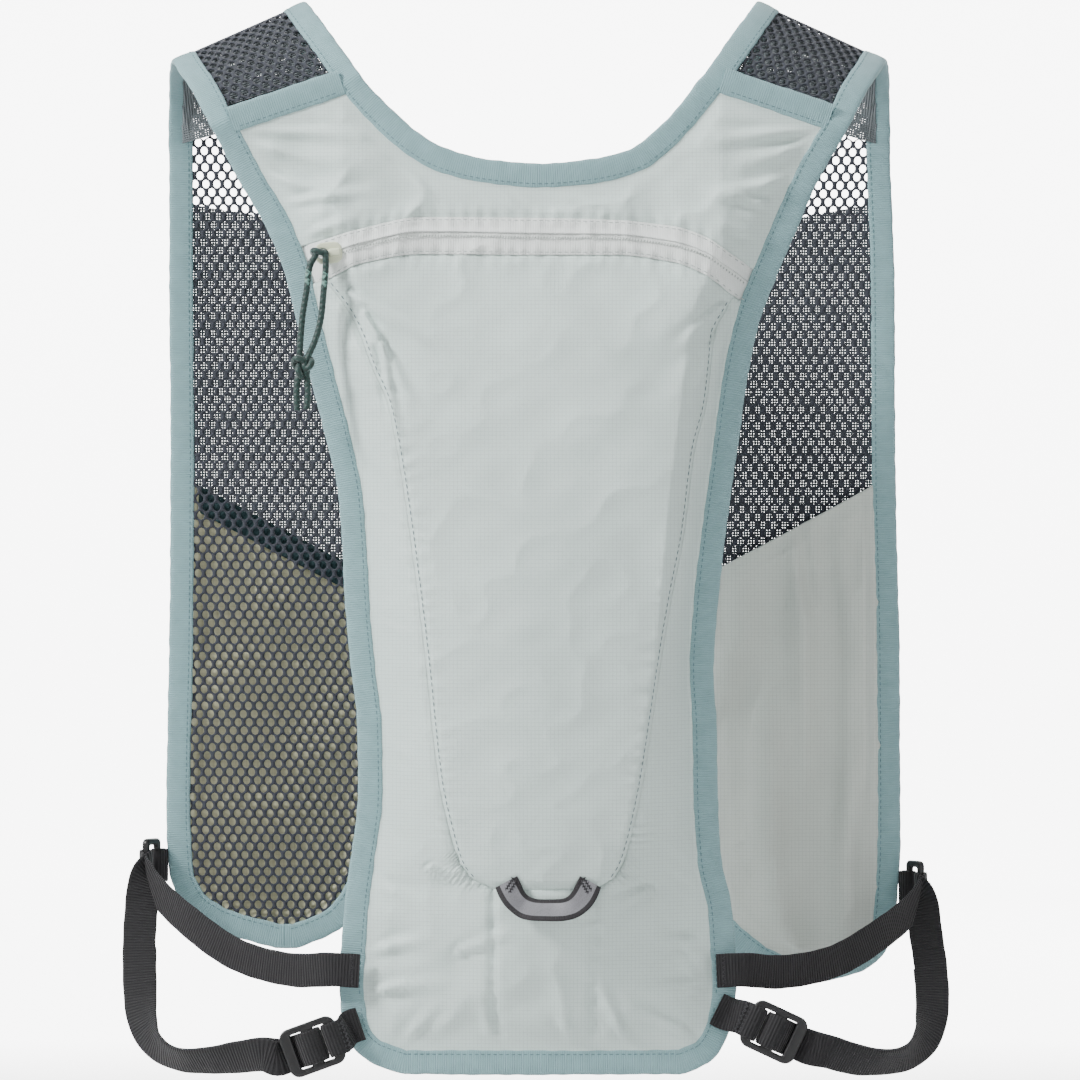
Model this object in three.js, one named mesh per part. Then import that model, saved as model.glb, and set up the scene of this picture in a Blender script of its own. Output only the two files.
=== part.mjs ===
// Running hydration vest, hanging open as if worn: back pack, shoulder yokes, front panels, side straps.
// Millimetres. +Z is up, the wearer faces +Y, and the origin lies midway between the shoulders.
import * as THREE from "three";

// Main sizes
const BODY_HEIGHT = 461; // origin level down to the hem of the back
const HALF_BODY = 84; // half the width of the back at the waist
const HALF_SPAN = 168; // centre out to the edge of a front panel
const FRONT_HEIGHT = { left: 411, right: 427 }; // the right panel hangs lower
const BACK_DEPTH = 46; // origin back to the back panel
const STRIP_DEPTH = 38; // origin back to the cross strips of the shoulders
const FRONT_DEPTH = 44; // origin forward to the front panels
const BULGE = 27; // how far the pouch stands out when part filled
const RISE = 50; // height over which the back swings in towards the shoulders
const WRAP = 6; // how far the sides of the back curl round the wearer

// Cloth, tape and gaps
const WALL = 1.2;
const LAYER_GAP = 0.6;
const CLEAR = 0.35;
const EDGE_GAP = 0.95; // cloth to the inner edge of a curved binding
const BINDING = 11;
const BINDING_THICK = 3.6;
const STEP = 11; // spacing of points along a binding

// Webbing and hardware
const WEBBING = 15;
const WEBBING_THICK = 1.4;
const BAR = 3; // thickness of the bars of a ring
const RING_LONG = 25;
const RING_WIDE = 12.5;
const LOCK_LONG = 26;
const LOCK_WIDE = 22;
const LOCK_THICK = 4;
const LOOP_WIDTH = 11;
const CHEST_DROP = 118; // origin level down to the chest strap
const CLASP = { long: 46, high: 22, thick: 8 };

// Zip pull
const CORD = 2.8;
const CORD_SIDES = 8;
const SLIDER = { long: 12, wide: 10, thick: 3, eye: 4.2 };
const KNOT = 8;

// Where things are sewn or laid
const NECK_REACH = 8; // the neck line runs on by so many of its steps, to meet the cross strips
const LOWER_TURN = 0.75; // share of the back's height where the lower back starts to close in
const HEM_START = 0.93; // where the hem binding takes over from the armhole bindings
const STRIP_ENDS = { outer: 0.19, inner: 0.8 }; // of the way along the first shoulder station
const YOKE_FROM = 0.36; // shoulder station where the mesh begins, above the cross strip
const STRAP_SEWN = 9; // how far a strap reaches in over the edge of the back
const TAB_SEWN = 8;
const RING_TURN = 28; // degrees that a ring is turned from edge on
const RING_BACK = 8; // how far a ring lies behind the front panels
const WRAP_FROM = 200; // degrees round the ring's bar
const WRAP_TO = -20;
const LOCK_BACK = 6; // how far a ladder lock lies behind the back
const TAIL_BEHIND = 4.5; // gap between the strap and its tail
const TAIL_WIDTH = 0.96; // share of the strap's width
const TAIL_FROM = 2; // first row of the loop that the tail follows
const SLIDER_OUT = -1.085; // share of HALF_BODY
const LOOP_SEAT = 0.6; // the loop's sewn ends clear of the cloth
const LOOP_STAND = 2.4; // its middle clear of the cloth
const LOOP = { left: -0.235, right: 0.33, down: 0.806, sag: 0.028, fan: 0.12 };
const KNOT_AT = { out: -8.2, down: 0.86 };
const TAILS = {
  left: [
    { out: -10.2, down: 0.944 },
    { out: -10.9, down: 1.08 },
    { out: -10.6, down: 1.2 },
  ],
  right: [
    { out: -6.4, down: 0.944 },
    { out: -5.9, down: 1.08 },
    { out: -6.6, down: 1.19 },
  ],
};

// Outline of the back: shares of BODY_HEIGHT down from the origin, shares of HALF_BODY out.
const BODY_EDGE = [
  { down: 0.055, left: 1.818, right: 1.77 },
  { down: 0.093, left: 1.702, right: 1.649 },
  { down: 0.141, left: 1.565, right: 1.496 },
  { down: 0.189, left: 1.412, right: 1.38 },
  { down: 0.234, left: 1.317, right: 1.275 },
  { down: 0.278, left: 1.259, right: 1.185 },
  { down: 0.336, left: 1.18, right: 1.117 },
  { down: 0.391, left: 1.101, right: 1.075 },
  { down: 0.445, left: 1.038, right: 1.033 },
  { down: 0.496, left: 1.017, right: 0.996 },
  { down: 0.551, left: 1.001, right: 0.964 },
  { down: 0.613, left: 0.97, right: 0.943 },
  { down: 0.665, left: 0.938, right: 0.959 },
  { down: 0.728, left: 0.933, right: 0.964 },
  { down: 0.794, left: 0.975, right: 0.985 },
  { down: 0.838, left: 1.006, right: 1.038 },
  { down: 0.877, left: 1.022, right: 1.054 },
  { down: 0.913, left: 1.033, right: 1.064 },
  { down: 0.948, left: 1.017, right: 1.043 },
  { down: 0.972, left: 0.97, right: 0.996 },
  { down: 0.989, left: 0.87, right: 0.92 },
  { down: 1.0, left: 0.7, right: 0.78 },
];

// Upper edge of the neck binding across the back, from the left shoulder to the right one.
const NECK = [
  { across: -0.918, down: 0.041 },
  { across: -0.823, down: 0.06 },
  { across: -0.723, down: 0.078 },
  { across: -0.623, down: 0.094 },
  { across: -0.475, down: 0.11 },
  { across: -0.238, down: 0.121 },
  { across: 0.026, down: 0.125 },
  { across: 0.29, down: 0.121 },
  { across: 0.501, down: 0.111 },
  { across: 0.633, down: 0.093 },
  { across: 0.754, down: 0.07 },
  { across: 0.892, down: 0.037 },
];

// Stations over the shoulder, from the cross strip over the crest to the front panel.
// depth: shares of STRIP_DEPTH behind and of FRONT_DEPTH in front; the rest: shares of HALF_SPAN.
const SHOULDER = [
  { depth: -1, outer: 0.857, outerUp: -0.244, inner: 0.46, innerUp: -0.11 },
  { depth: -0.76, outer: 0.909, outerUp: -0.145, inner: 0.523, innerUp: -0.02 },
  { depth: -0.42, outer: 0.948, outerUp: -0.09, inner: 0.579, innerUp: 0.059 },
  { depth: 0, outer: 0.974, outerUp: -0.053, inner: 0.614, innerUp: 0.106 },
  { depth: 0.42, outer: 0.988, outerUp: -0.08, inner: 0.616, innerUp: 0.075 },
  { depth: 0.76, outer: 0.995, outerUp: -0.155, inner: 0.6, innerUp: -0.012 },
  { depth: 0.95, outer: 1.0, outerUp: -0.26, inner: 0.566, innerUp: -0.14 },
];
// The right shoulder sits a little closer in than the left one.
const SHOULDER_SCALE = { left: 1, right: 0.968 };

// Outline of a front panel: shares of FRONT_HEIGHT down, shares of HALF_SPAN out.
const FRONT_EDGE = {
  left: [
    { down: 0.106, outer: 1.0, inner: 0.566 },
    { down: 0.25, outer: 1.0, inner: 0.45 },
    { down: 0.45, outer: 0.997, inner: 0.4 },
    { down: 0.65, outer: 1.0, inner: 0.39 },
    { down: 0.84, outer: 1.008, inner: 0.41 },
    { down: 0.915, outer: 1.0, inner: 0.434 },
    { down: 0.956, outer: 0.958, inner: 0.478 },
    { down: 0.983, outer: 0.865, inner: 0.54 },
    { down: 1.0, outer: 0.72, inner: 0.64 },
  ],
  right: [
    { down: 0.102, outer: 0.968, inner: 0.548 },
    { down: 0.25, outer: 0.982, inner: 0.45 },
    { down: 0.45, outer: 0.985, inner: 0.4 },
    { down: 0.65, outer: 0.996, inner: 0.39 },
    { down: 0.84, outer: 0.998, inner: 0.405 },
    { down: 0.93, outer: 0.985, inner: 0.455 },
    { down: 0.965, outer: 0.962, inner: 0.535 },
    { down: 0.988, outer: 0.9, inner: 0.62 },
    { down: 1.0, outer: 0.79, inner: 0.7 },
  ],
};

// Seams of the centre panel, as BODY_EDGE.
const CENTRE_EDGE = [
  { down: 0.23, left: 1.14, right: 1.12 },
  { down: 0.264, left: 0.994, right: 1.015 },
  { down: 0.289, left: 0.921, right: 0.945 },
  { down: 0.317, left: 0.864, right: 0.93 },
  { down: 0.355, left: 0.775, right: 0.905 },
  { down: 0.399, left: 0.722, right: 0.843 },
  { down: 0.48, left: 0.654, right: 0.785 },
  { down: 0.538, left: 0.612, right: 0.722 },
  { down: 0.592, left: 0.576, right: 0.67 },
  { down: 0.716, left: 0.502, right: 0.565 },
  { down: 0.76, left: 0.45, right: 0.515 },
  { down: 0.794, left: 0.393, right: 0.461 },
  { down: 0.81, left: 0.324, right: 0.403 },
  { down: 0.819, left: 0.22, right: 0.31 },
];

// The zip: its top seam, the slit between its tapes and its bottom seam, in the same shares.
const ZIP = [
  { across: -1.4, top: 0.212, slit: 0.228, bottom: 0.249 },
  { across: -1.12, top: 0.199, slit: 0.214, bottom: 0.238 },
  { across: -0.909, top: 0.188, slit: 0.202, bottom: 0.222 },
  { across: -0.594, top: 0.177, slit: 0.191, bottom: 0.213 },
  { across: 0.026, top: 0.178, slit: 0.193, bottom: 0.214 },
  { across: 0.426, top: 0.18, slit: 0.194, bottom: 0.214 },
  { across: 0.73, top: 0.186, slit: 0.201, bottom: 0.221 },
  { across: 0.883, top: 0.195, slit: 0.21, bottom: 0.232 },
  { across: 1.03, top: 0.212, slit: 0.227, bottom: 0.25 },
  { across: 1.3, top: 0.244, slit: 0.258, bottom: 0.281 },
];

// How full the pouch is on the way from the neck (0) to the hem (1).
const FULLNESS = [
  { way: 0, share: 0 },
  { way: 0.08, share: 0.22 },
  { way: 0.2, share: 0.62 },
  { way: 0.35, share: 0.9 },
  { way: 0.55, share: 1 },
  { way: 0.72, share: 0.95 },
  { way: 0.86, share: 0.62 },
  { way: 0.95, share: 0.24 },
  { way: 1, share: 0 },
];

// Folds pressed into the pouch: both ends in shares across and down, width in shares of HALF_BODY,
// depth in shares of BULGE.
const FOLDS = [
  { x0: -1.3, z0: 0.12, x1: -0.6, z1: 0.17, wide: 0.09, deep: 0.07 },
  { x0: 1.25, z0: 0.12, x1: 0.72, z1: 0.16, wide: 0.1, deep: 0.08 },
  { x0: -1.05, z0: 0.25, x1: -0.5, z1: 0.36, wide: 0.1, deep: 0.13 },
  { x0: 1.0, z0: 0.26, x1: 0.6, z1: 0.35, wide: 0.1, deep: 0.1 },
  { x0: -0.9, z0: 0.42, x1: -0.72, z1: 0.62, wide: 0.09, deep: 0.1 },
  { x0: 0.92, z0: 0.44, x1: 0.8, z1: 0.66, wide: 0.08, deep: 0.08 },
  { x0: -0.9, z0: 0.86, x1: -0.45, z1: 0.9, wide: 0.1, deep: 0.12 },
  { x0: 0.9, z0: 0.86, x1: 0.5, z1: 0.89, wide: 0.1, deep: 0.12 },
  { x0: 0.75, z0: 0.97, x1: 0.4, z1: 0.9, wide: 0.07, deep: 0.08 },
];

// Gathers of the right front pocket, whose ripstop faces the wearer: shares of the panel's width
// and height.
const GATHERS = [
  { across: 0.2, from: 0.56, to: 0.95, wide: 0.06, deep: 2.2 },
  { across: 0.42, from: 0.58, to: 0.9, wide: 0.05, deep: 1.6 },
  { across: 0.62, from: 0.6, to: 0.98, wide: 0.07, deep: 2.4 },
  { across: 0.82, from: 0.62, to: 0.9, wide: 0.05, deep: 1.5 },
];

// Pocket tops on the front panels: shares of FRONT_HEIGHT.left at the outer and the inner edge.
const POCKET_TOP = { outer: 0.48, inner: 0.592 };
const NET_TOP = { outer: 0.17, inner: 0.2 };

// Side straps from the edge of the back (way 0) to the ring (way 1): shares of the distance, and lean
// of the webbing.
const STRAP_RUN = [
  { way: 0, back: 1.09, sag: 0 },
  { way: 0.12, back: 1.07, sag: 0.0 },
  { way: 0.3, back: 0.82, sag: 0.03 },
  { way: 0.55, back: 0.42, sag: 0.05 },
  { way: 0.78, back: 0.02, sag: 0.04 },
  { way: 0.92, back: -0.36, sag: 0.015 },
];
// The loop from the ring down to the ladder lock: x and z as shares of that distance, depth as a
// share of the way back, lean and turn of the webbing in degrees.
const STRAP_LOOP = {
  left: [
    { out: -0.035, down: 0.06, back: 0.1, lean: -35, turn: 0 },
    { out: -0.05, down: 0.24, back: 0.2, lean: -70, turn: 0 },
    { out: -0.055, down: 0.45, back: 0.3, lean: -88, turn: 0 },
    { out: -0.04, down: 0.67, back: 0.42, lean: -96, turn: 5 },
    { out: -0.01, down: 0.84, back: 0.52, lean: -112, turn: 25 },
    { out: 0.08, down: 0.97, back: 0.62, lean: -140, turn: 45 },
    { out: 0.25, down: 1.04, back: 0.72, lean: -168, turn: 50 },
    { out: 0.47, down: 1.04, back: 0.82, lean: -182, turn: 40 },
    { out: 0.7, down: 1.01, back: 0.91, lean: -188, turn: 20 },
    { out: 0.86, down: 0.99, back: 0.97, lean: -192, turn: 5 },
  ],
  right: [
    { out: -0.035, down: 0.06, back: 0.1, lean: -35, turn: 0 },
    { out: -0.06, down: 0.3, back: 0.2, lean: -72, turn: 0 },
    { out: -0.09, down: 0.55, back: 0.32, lean: -86, turn: 0 },
    { out: -0.09, down: 0.8, back: 0.44, lean: -98, turn: 5 },
    { out: -0.03, down: 1.0, back: 0.55, lean: -124, turn: 30 },
    { out: 0.12, down: 1.12, back: 0.66, lean: -158, turn: 45 },
    { out: 0.32, down: 1.15, back: 0.76, lean: -178, turn: 45 },
    { out: 0.52, down: 1.13, back: 0.85, lean: -188, turn: 30 },
    { out: 0.7, down: 1.08, back: 0.93, lean: -198, turn: 15 },
    { out: 0.8, down: 1.05, back: 0.97, lean: -202, turn: 5 },
  ],
};
// Ring and ladder lock of each side: shares of BODY_HEIGHT down, the ring's place in shares of
// HALF_SPAN, the gap from the back's edge to the lock, and the lock's tilt in degrees.
const HARDWARE = {
  left: {
    strapDown: 0.9,
    ringDown: 0.81,
    ringOut: 1.045,
    lockDown: 0.972,
    lockGap: 3.78,
    tilt: 20,
    tabDown: 0.951,
  },
  right: {
    strapDown: 0.9,
    ringDown: 0.832,
    ringOut: 1.035,
    lockDown: 0.958,
    lockGap: 5.99,
    tilt: 25,
    tabDown: 0.937,
  },
};

// Zip pull: how its two strands and tails hang, in shares of PULL_DROP below the slider.
const PULL_DROP = 58;
const STRANDS = {
  left: [
    { out: -1.7, down: -0.01 },
    { out: -3.2, down: 0.04 },
    { out: -5, down: 0.1 },
    { out: -6.6, down: 0.3 },
    { out: -8.4, down: 0.5 },
    { out: -9.4, down: 0.775 },
  ],
  right: [
    { out: 1.7, down: -0.01 },
    { out: 2.0, down: 0.09 },
    { out: 1.0, down: 0.3 },
    { out: -0.2, down: 0.5 },
    { out: -2.6, down: 0.66 },
    { out: -5.6, down: 0.78 },
  ],
};

// A column of a table as a smooth line with no overshoot, read at one place.
function read(table, place, column, at) {
  const x = table.map((row) => row[place]);
  const y = table.map((row) => row[column]);
  const last = x.length - 1;
  if (at <= x[0]) return y[0];
  if (at >= x[last]) return y[last];
  const slope = (i) => (y[i + 1] - y[i]) / (x[i + 1] - x[i]);
  const tangent = (i) => {
    if (i === 0) return slope(0);
    if (i === last) return slope(last - 1);
    const a = slope(i - 1);
    const b = slope(i);
    return a * b <= 0 ? 0 : (2 * a * b) / (a + b);
  };
  let i = 0;
  while (at > x[i + 1]) i += 1;
  const h = x[i + 1] - x[i];
  const t = (at - x[i]) / h;
  const m0 = tangent(i) * h;
  const m1 = tangent(i + 1) * h;
  const cubic = 2 * y[i] - 2 * y[i + 1] + m0 + m1;
  const square = -3 * y[i] + 3 * y[i + 1] - 2 * m0 - m1;
  return ((cubic * t + square) * t + m0) * t + y[i];
}

const mix = (a, b, t) => a + (b - a) * t;
const clamp = (value, low, high) => Math.min(high, Math.max(low, value));

// An edge line of [x, z] points down a table, with a few points between its rows.
function edgeLine(table, column, height, unit, sign) {
  const line = [];
  const between = 4;
  table.slice(0, -1).forEach((row, i) => {
    for (let k = 0; k < between; k += 1) {
      const down = mix(row.down, table[i + 1].down, k / between);
      line.push([sign * unit * read(table, "down", column, down), -height * down]);
    }
  });
  const end = table[table.length - 1];
  line.push([sign * unit * end[column], -height * end.down]);
  return line;
}

// The same line moved sideways by a distance; endUp makes the last point move straight up.
function inset(line, distance, sign, endUp = true) {
  return line.map(([x, z], i) => {
    const a = line[Math.max(0, i - 1)];
    const b = line[Math.min(line.length - 1, i + 1)];
    const length = Math.hypot(b[0] - a[0], b[1] - a[1]);
    const nx = endUp && i === line.length - 1 ? 0 : (sign * (b[1] - a[1])) / length;
    const nz = endUp && i === line.length - 1 ? 1 : (-sign * (b[0] - a[0])) / length;
    return [x + nx * distance, z + nz * distance];
  });
}

// x on a line of falling z, at one height.
function xAt(line, z) {
  let i = 0;
  while (i < line.length - 2 && line[i + 1][1] > z) i += 1;
  const [a, b] = [line[i], line[i + 1]];
  return mix(a[0], b[0], clamp((z - a[1]) / (b[1] - a[1] || 1), 0, 1));
}

const SIDES = [
  { name: "left", sign: -1 },
  { name: "right", sign: 1 },
];
const bodyEdge = {};
const bodyIn = {};
SIDES.forEach(({ name, sign }) => {
  bodyEdge[name] = edgeLine(BODY_EDGE, name, BODY_HEIGHT, HALF_BODY, sign);
  bodyIn[name] = inset(bodyEdge[name], BINDING + EDGE_GAP, sign);
});
const bodyX = (across, z) => mix(xAt(bodyIn.left, z), xAt(bodyIn.right, z), across);
const acrossAt = (x, z) => (x - xAt(bodyIn.left, z)) / (xAt(bodyIn.right, z) - xAt(bodyIn.left, z));

// The shoulder stations of one side, as pairs of points on its outer and its neck edge.
function shoulder({ name, sign }) {
  const scale = sign * HALF_SPAN * SHOULDER_SCALE[name];
  return SHOULDER.map((row) => {
    const y = row.depth * (row.depth < 0 ? STRIP_DEPTH : FRONT_DEPTH);
    return {
      outer: new THREE.Vector3(scale * row.outer, y, HALF_SPAN * row.outerUp),
      inner: new THREE.Vector3(scale * row.inner, y, HALF_SPAN * row.innerUp),
    };
  });
}
const shoulders = Object.fromEntries(SIDES.map((side) => [side.name, shoulder(side)]));

// A point between the stations, at a place from 0 to their number less one.
function onShoulder(name, place, share) {
  const edge = (key) => {
    const curve = new THREE.CatmullRomCurve3(shoulders[name].map((s) => s[key]), false, "centripetal");
    return curve.getPoint(place / (SHOULDER.length - 1));
  };
  return edge("outer").lerp(edge("inner"), share);
}

// Height of the line across both shoulders where the yokes meet the back.
const first = SHOULDER[0];
const STRIP_FALL = (first.innerUp - first.outerUp) / (first.outer - first.inner);
const stripLine = (x) => HALF_SPAN * first.innerUp - STRIP_FALL * (Math.abs(x) - HALF_SPAN * first.inner);

// Depth of the back sheet: it swings in towards the shoulders and curls round the wearer.
function backY(x, z) {
  const settled = 1 - Math.exp(Math.min(0, z - stripLine(x)) / RISE);
  const curl = WRAP * (x / HALF_BODY) ** 2;
  return -(STRIP_DEPTH + (BACK_DEPTH - STRIP_DEPTH - curl) * settled);
}

// The top edge of the cloth of the back: under the cross strips and along the neck binding.
const neckEdge = NECK.map(({ across, down }) => [across * HALF_BODY, -down * BODY_HEIGHT]);
const neckCurve = (distance) => {
  const curve = new THREE.SplineCurve(neckEdge.map(([x, z]) => new THREE.Vector2(x, z)));
  const line = curve.getSpacedPoints(26).map((p) => [p.x, p.y]);
  return inset(line, distance, 1, false);
};
const stripHalf = BINDING / 2;
const stripSlope = Math.hypot(1, STRIP_FALL);
const underStrip = (x) => stripLine(x) - (stripHalf + 2 * CLEAR) * stripSlope;

const topLine = (() => {
  const neckLine = neckCurve(BINDING + EDGE_GAP);
  const onward = (a, b) => [b[0] + NECK_REACH * (b[0] - a[0]), b[1] + NECK_REACH * (b[1] - a[1])];
  const last = neckLine.length - 1;
  const all = [
    onward(neckLine[1], neckLine[0]),
    ...neckLine,
    onward(neckLine[last - 1], neckLine[last]),
  ];
  const above = ([x, z]) => z - underStrip(x);
  const crossing = (from, to) => {
    const t = above(from) / (above(from) - above(to));
    const x = mix(from[0], to[0], t);
    return [x, underStrip(x)];
  };
  const low = all.findIndex((p) => above(p) < 0);
  const high = all.length - 1 - [...all].reverse().findIndex((p) => above(p) < 0);
  const neck = all.slice(low, high + 1);
  const end = (name) => {
    let z = -BODY_HEIGHT * BODY_EDGE[1].down;
    for (let i = 0; i < 6; i += 1) z = underStrip(xAt(bodyIn[name], z));
    return [xAt(bodyIn[name], z), z];
  };
  const strip = (from, to) =>
    [0.25, 0.5, 0.75].map((t) => [mix(from[0], to[0], t), underStrip(mix(from[0], to[0], t))]);
  const [left, right] = [end("left"), end("right")];
  const [a, b] = [crossing(all[low - 1], all[low]), crossing(all[high + 1], all[high])];
  const line = [left, ...strip(left, a), a, ...neck.slice(1, -1), b, ...strip(b, right), right];
  return line.map(([x, z]) => ({ across: acrossAt(x, z), z }));
})();
function topZ(across) {
  let i = 0;
  while (i < topLine.length - 2 && topLine[i + 1].across < across) i += 1;
  const [a, b] = [topLine[i], topLine[i + 1]];
  return mix(a.z, b.z, clamp((across - a.across) / (b.across - a.across), 0, 1));
}
const HEM_IN = -BODY_HEIGHT + BINDING + EDGE_GAP;

// Depth of the pouch: fullest at the seams of the centre panel and between them.
function pouchY(x, z) {
  const across = clamp(acrossAt(x, z), 0, 1);
  const way = clamp((topZ(across) - z) / (topZ(across) - HEM_IN), 0, 1);
  const down = -z / BODY_HEIGHT;
  const seam = x < 0 ? read(CENTRE_EDGE, "down", "left", down) : read(CENTRE_EDGE, "down", "right", down);
  const edge = Math.abs(xAt(x < 0 ? bodyIn.left : bodyIn.right, z));
  const ridge = clamp((seam * HALF_BODY) / edge, 0.3, 0.8);
  const out = clamp(Math.abs(x) / edge, 0, 1);
  const section = out > ridge ? 0.86 * ((1 - out) / (1 - ridge)) ** 0.8 : 1 - 0.14 * (out / ridge) ** 2;
  let bulge = BULGE * read(FULLNESS, "way", "share", way) * section;
  FOLDS.forEach((fold) => {
    const ax = fold.x0 * HALF_BODY;
    const az = -fold.z0 * BODY_HEIGHT;
    const bx = fold.x1 * HALF_BODY - ax;
    const bz = -fold.z1 * BODY_HEIGHT - az;
    const t = clamp(((x - ax) * bx + (z - az) * bz) / (bx * bx + bz * bz), 0, 1);
    const off = Math.hypot(x - ax - t * bx, z - az - t * bz) / (fold.wide * HALF_BODY);
    bulge -= fold.deep * BULGE * Math.exp(-off * off) * (1 - 0.6 * t) * Math.min(1, bulge / 4);
  });
  return backY(x, z) - Math.max(0, bulge);
}

const onBack = (x, z) => new THREE.Vector3(x, backY(x, z), z);
const onPouch = (x, z) => new THREE.Vector3(x, pouchY(x, z), z);

// Makes a closed body from corners and faces, turned so that its faces point out.
function solid(vertices, triangles) {
  const geometry = new THREE.BufferGeometry();
  const cross = new THREE.Vector3();
  let volume = 0;
  triangles.forEach(([a, b, c]) => {
    volume += cross.crossVectors(vertices[a], vertices[b]).dot(vertices[c]);
  });
  const index = triangles.flatMap(([a, b, c]) => (volume < 0 ? [a, c, b] : [a, b, c]));
  const places = vertices.flatMap((v) => v.toArray());
  geometry.setAttribute("position", new THREE.Float32BufferAttribute(places, 3));
  geometry.setIndex(index);
  geometry.computeVertexNormals();
  return geometry;
}

// A wall of cloth: a grid of points moved out by two distances, with a rim round it. It moves along
// the grid's normals, or straight back where a flat direction keeps the pieces of the pouch apart.
function wall(grid, near, far, straight = false) {
  const rows = grid.length;
  const cols = grid[0].length;
  const normal = (r, c) => {
    const along = grid[Math.min(rows - 1, r + 1)][c].clone().sub(grid[Math.max(0, r - 1)][c]);
    const over = grid[r][Math.min(cols - 1, c + 1)].clone().sub(grid[r][Math.max(0, c - 1)]);
    return along.cross(over).normalize();
  };
  const moved = (r, c, layer) => {
    const n = normal(r, c);
    if (!straight) return grid[r][c].clone().addScaledVector(n, layer === 0 ? near : far);
    const slant = Math.min(2, 1 / Math.max(0.1, Math.abs(n.y)));
    return grid[r][c].clone().setY(grid[r][c].y - near - layer * (far - near) * slant);
  };
  const vertices = [];
  [0, 1].forEach((layer) => {
    for (let r = 0; r < rows; r += 1) {
      for (let c = 0; c < cols; c += 1) vertices.push(moved(r, c, layer));
    }
  });
  const id = (layer, r, c) => (layer * rows + r) * cols + c;
  const faces = [];
  const quad = (a, b, c, d) => faces.push([a, b, c], [a, c, d]);
  for (let r = 0; r < rows - 1; r += 1) {
    for (let c = 0; c < cols - 1; c += 1) {
      quad(id(0, r, c), id(0, r, c + 1), id(0, r + 1, c + 1), id(0, r + 1, c));
      quad(id(1, r, c), id(1, r + 1, c), id(1, r + 1, c + 1), id(1, r, c + 1));
    }
  }
  for (let c = 0; c < cols - 1; c += 1) {
    quad(id(0, 0, c + 1), id(0, 0, c), id(1, 0, c), id(1, 0, c + 1));
    quad(id(0, rows - 1, c), id(0, rows - 1, c + 1), id(1, rows - 1, c + 1), id(1, rows - 1, c));
  }
  for (let r = 0; r < rows - 1; r += 1) {
    quad(id(0, r, 0), id(0, r + 1, 0), id(1, r + 1, 0), id(1, r, 0));
    quad(id(0, r + 1, cols - 1), id(0, r, cols - 1), id(1, r, cols - 1), id(1, r + 1, cols - 1));
  }
  return solid(vertices, faces);
}

const steps = (count) => Array.from({ length: count + 1 }, (_, i) => i / count);
const grid = (rows, cols, at) => rows.map((v) => cols.map((u) => at(u, v)));

const vest = new THREE.Group();
function add(name, geometry, colour, roughness = 0.8) {
  const material = new THREE.MeshStandardMaterial({ color: colour, roughness, metalness: 0 });
  const mesh = new THREE.Mesh(geometry, material);
  mesh.name = name;
  vest.add(mesh);
}

const RIPSTOP = "#d5dedb";
const TAPE = "#b2ced1";
const MESH = "#343946";
const NET = "#9ba0a6";
const BLACK = "#2d2c2f";
const PALE = "#e1e6d8";
const GREEN = "#145f55";

// Back panel, the sheet against the wearer
const topCols = topLine.map((p) => p.across);
const backCols = topCols.filter((_, i) => i % 2 === 0 || Math.abs(2 * i + 1 - topCols.length) > 16);
const lifted = (place) => (u, v) => {
  const z = mix(topZ(u), HEM_IN, v);
  return place(bodyX(u, z), z);
};
const hemRows = [...steps(17).slice(0, -1), 0.97, 0.985, 1];
add("back_panel", wall(grid(hemRows, backCols, lifted(onBack)), 0, WALL), "#c9d0d0");

// The pouch lies outside the back panel, so its cloth is moved out by this much.
const OUT = WALL + LAYER_GAP;

// A point on a line across the back that is given as depth down for each x.
function zipPoint(column, across, left = (z) => bodyX(0, z), right = (z) => bodyX(1, z)) {
  let z = -BODY_HEIGHT * ZIP[4][column];
  let x = 0;
  for (let i = 0; i < 8; i += 1) {
    x = mix(left(z), right(z), across);
    z = -BODY_HEIGHT * read(ZIP, "across", column, x / HALF_BODY);
  }
  return [x, z];
}

// Upper back, from the neck to the zip
add(
  "upper_back",
  wall(
    grid(steps(6), topCols, (u, v) => {
      const z = mix(topZ(u), zipPoint("top", u)[1] + CLEAR, v);
      return onPouch(bodyX(u, z), z);
    }),
    OUT,
    OUT + WALL,
    true,
  ),
  RIPSTOP,
);

// Zip tapes, each from its seam to the slit
const zipCols = steps(22);
const between = (from, to) => (u, v) => {
  const [x0, z0] = zipPoint(from, u);
  const [x1, z1] = zipPoint(to, u);
  return onPouch(mix(x0, x1, v), mix(z0, z1 + CLEAR, v));
};
const zipTape = (from, to) => {
  const cloth = grid([0, 1], zipCols, between(from, to));
  return wall(cloth, OUT, OUT + WALL, true);
};
add("zip_tape_upper", zipTape("top", "slit"), PALE);
add("zip_tape_lower", zipTape("slit", "bottom"), PALE);

// Centre panel, from the zip to its rounded lower end
const centreEdge = {};
SIDES.forEach(({ name, sign }) => {
  centreEdge[name] = edgeLine(CENTRE_EDGE, name, BODY_HEIGHT, HALF_BODY, sign);
});
const centreX = (u, z) => mix(xAt(centreEdge.left, z), xAt(centreEdge.right, z), u);
const CENTRE_END = -BODY_HEIGHT * CENTRE_EDGE[CENTRE_EDGE.length - 1].down;
const centreTop = (u) => zipPoint("bottom", u, (z) => centreX(0, z), (z) => centreX(1, z))[1];
const centreRows = [...steps(14).slice(0, -1), 0.955, 0.98, 1];
add(
  "centre_panel",
  wall(
    grid(centreRows, steps(10), (u, v) => {
      const z = mix(centreTop(u), CENTRE_END, v);
      return onPouch(centreX(u, z), z);
    }),
    OUT,
    OUT + WALL,
    true,
  ),
  RIPSTOP,
);

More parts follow.
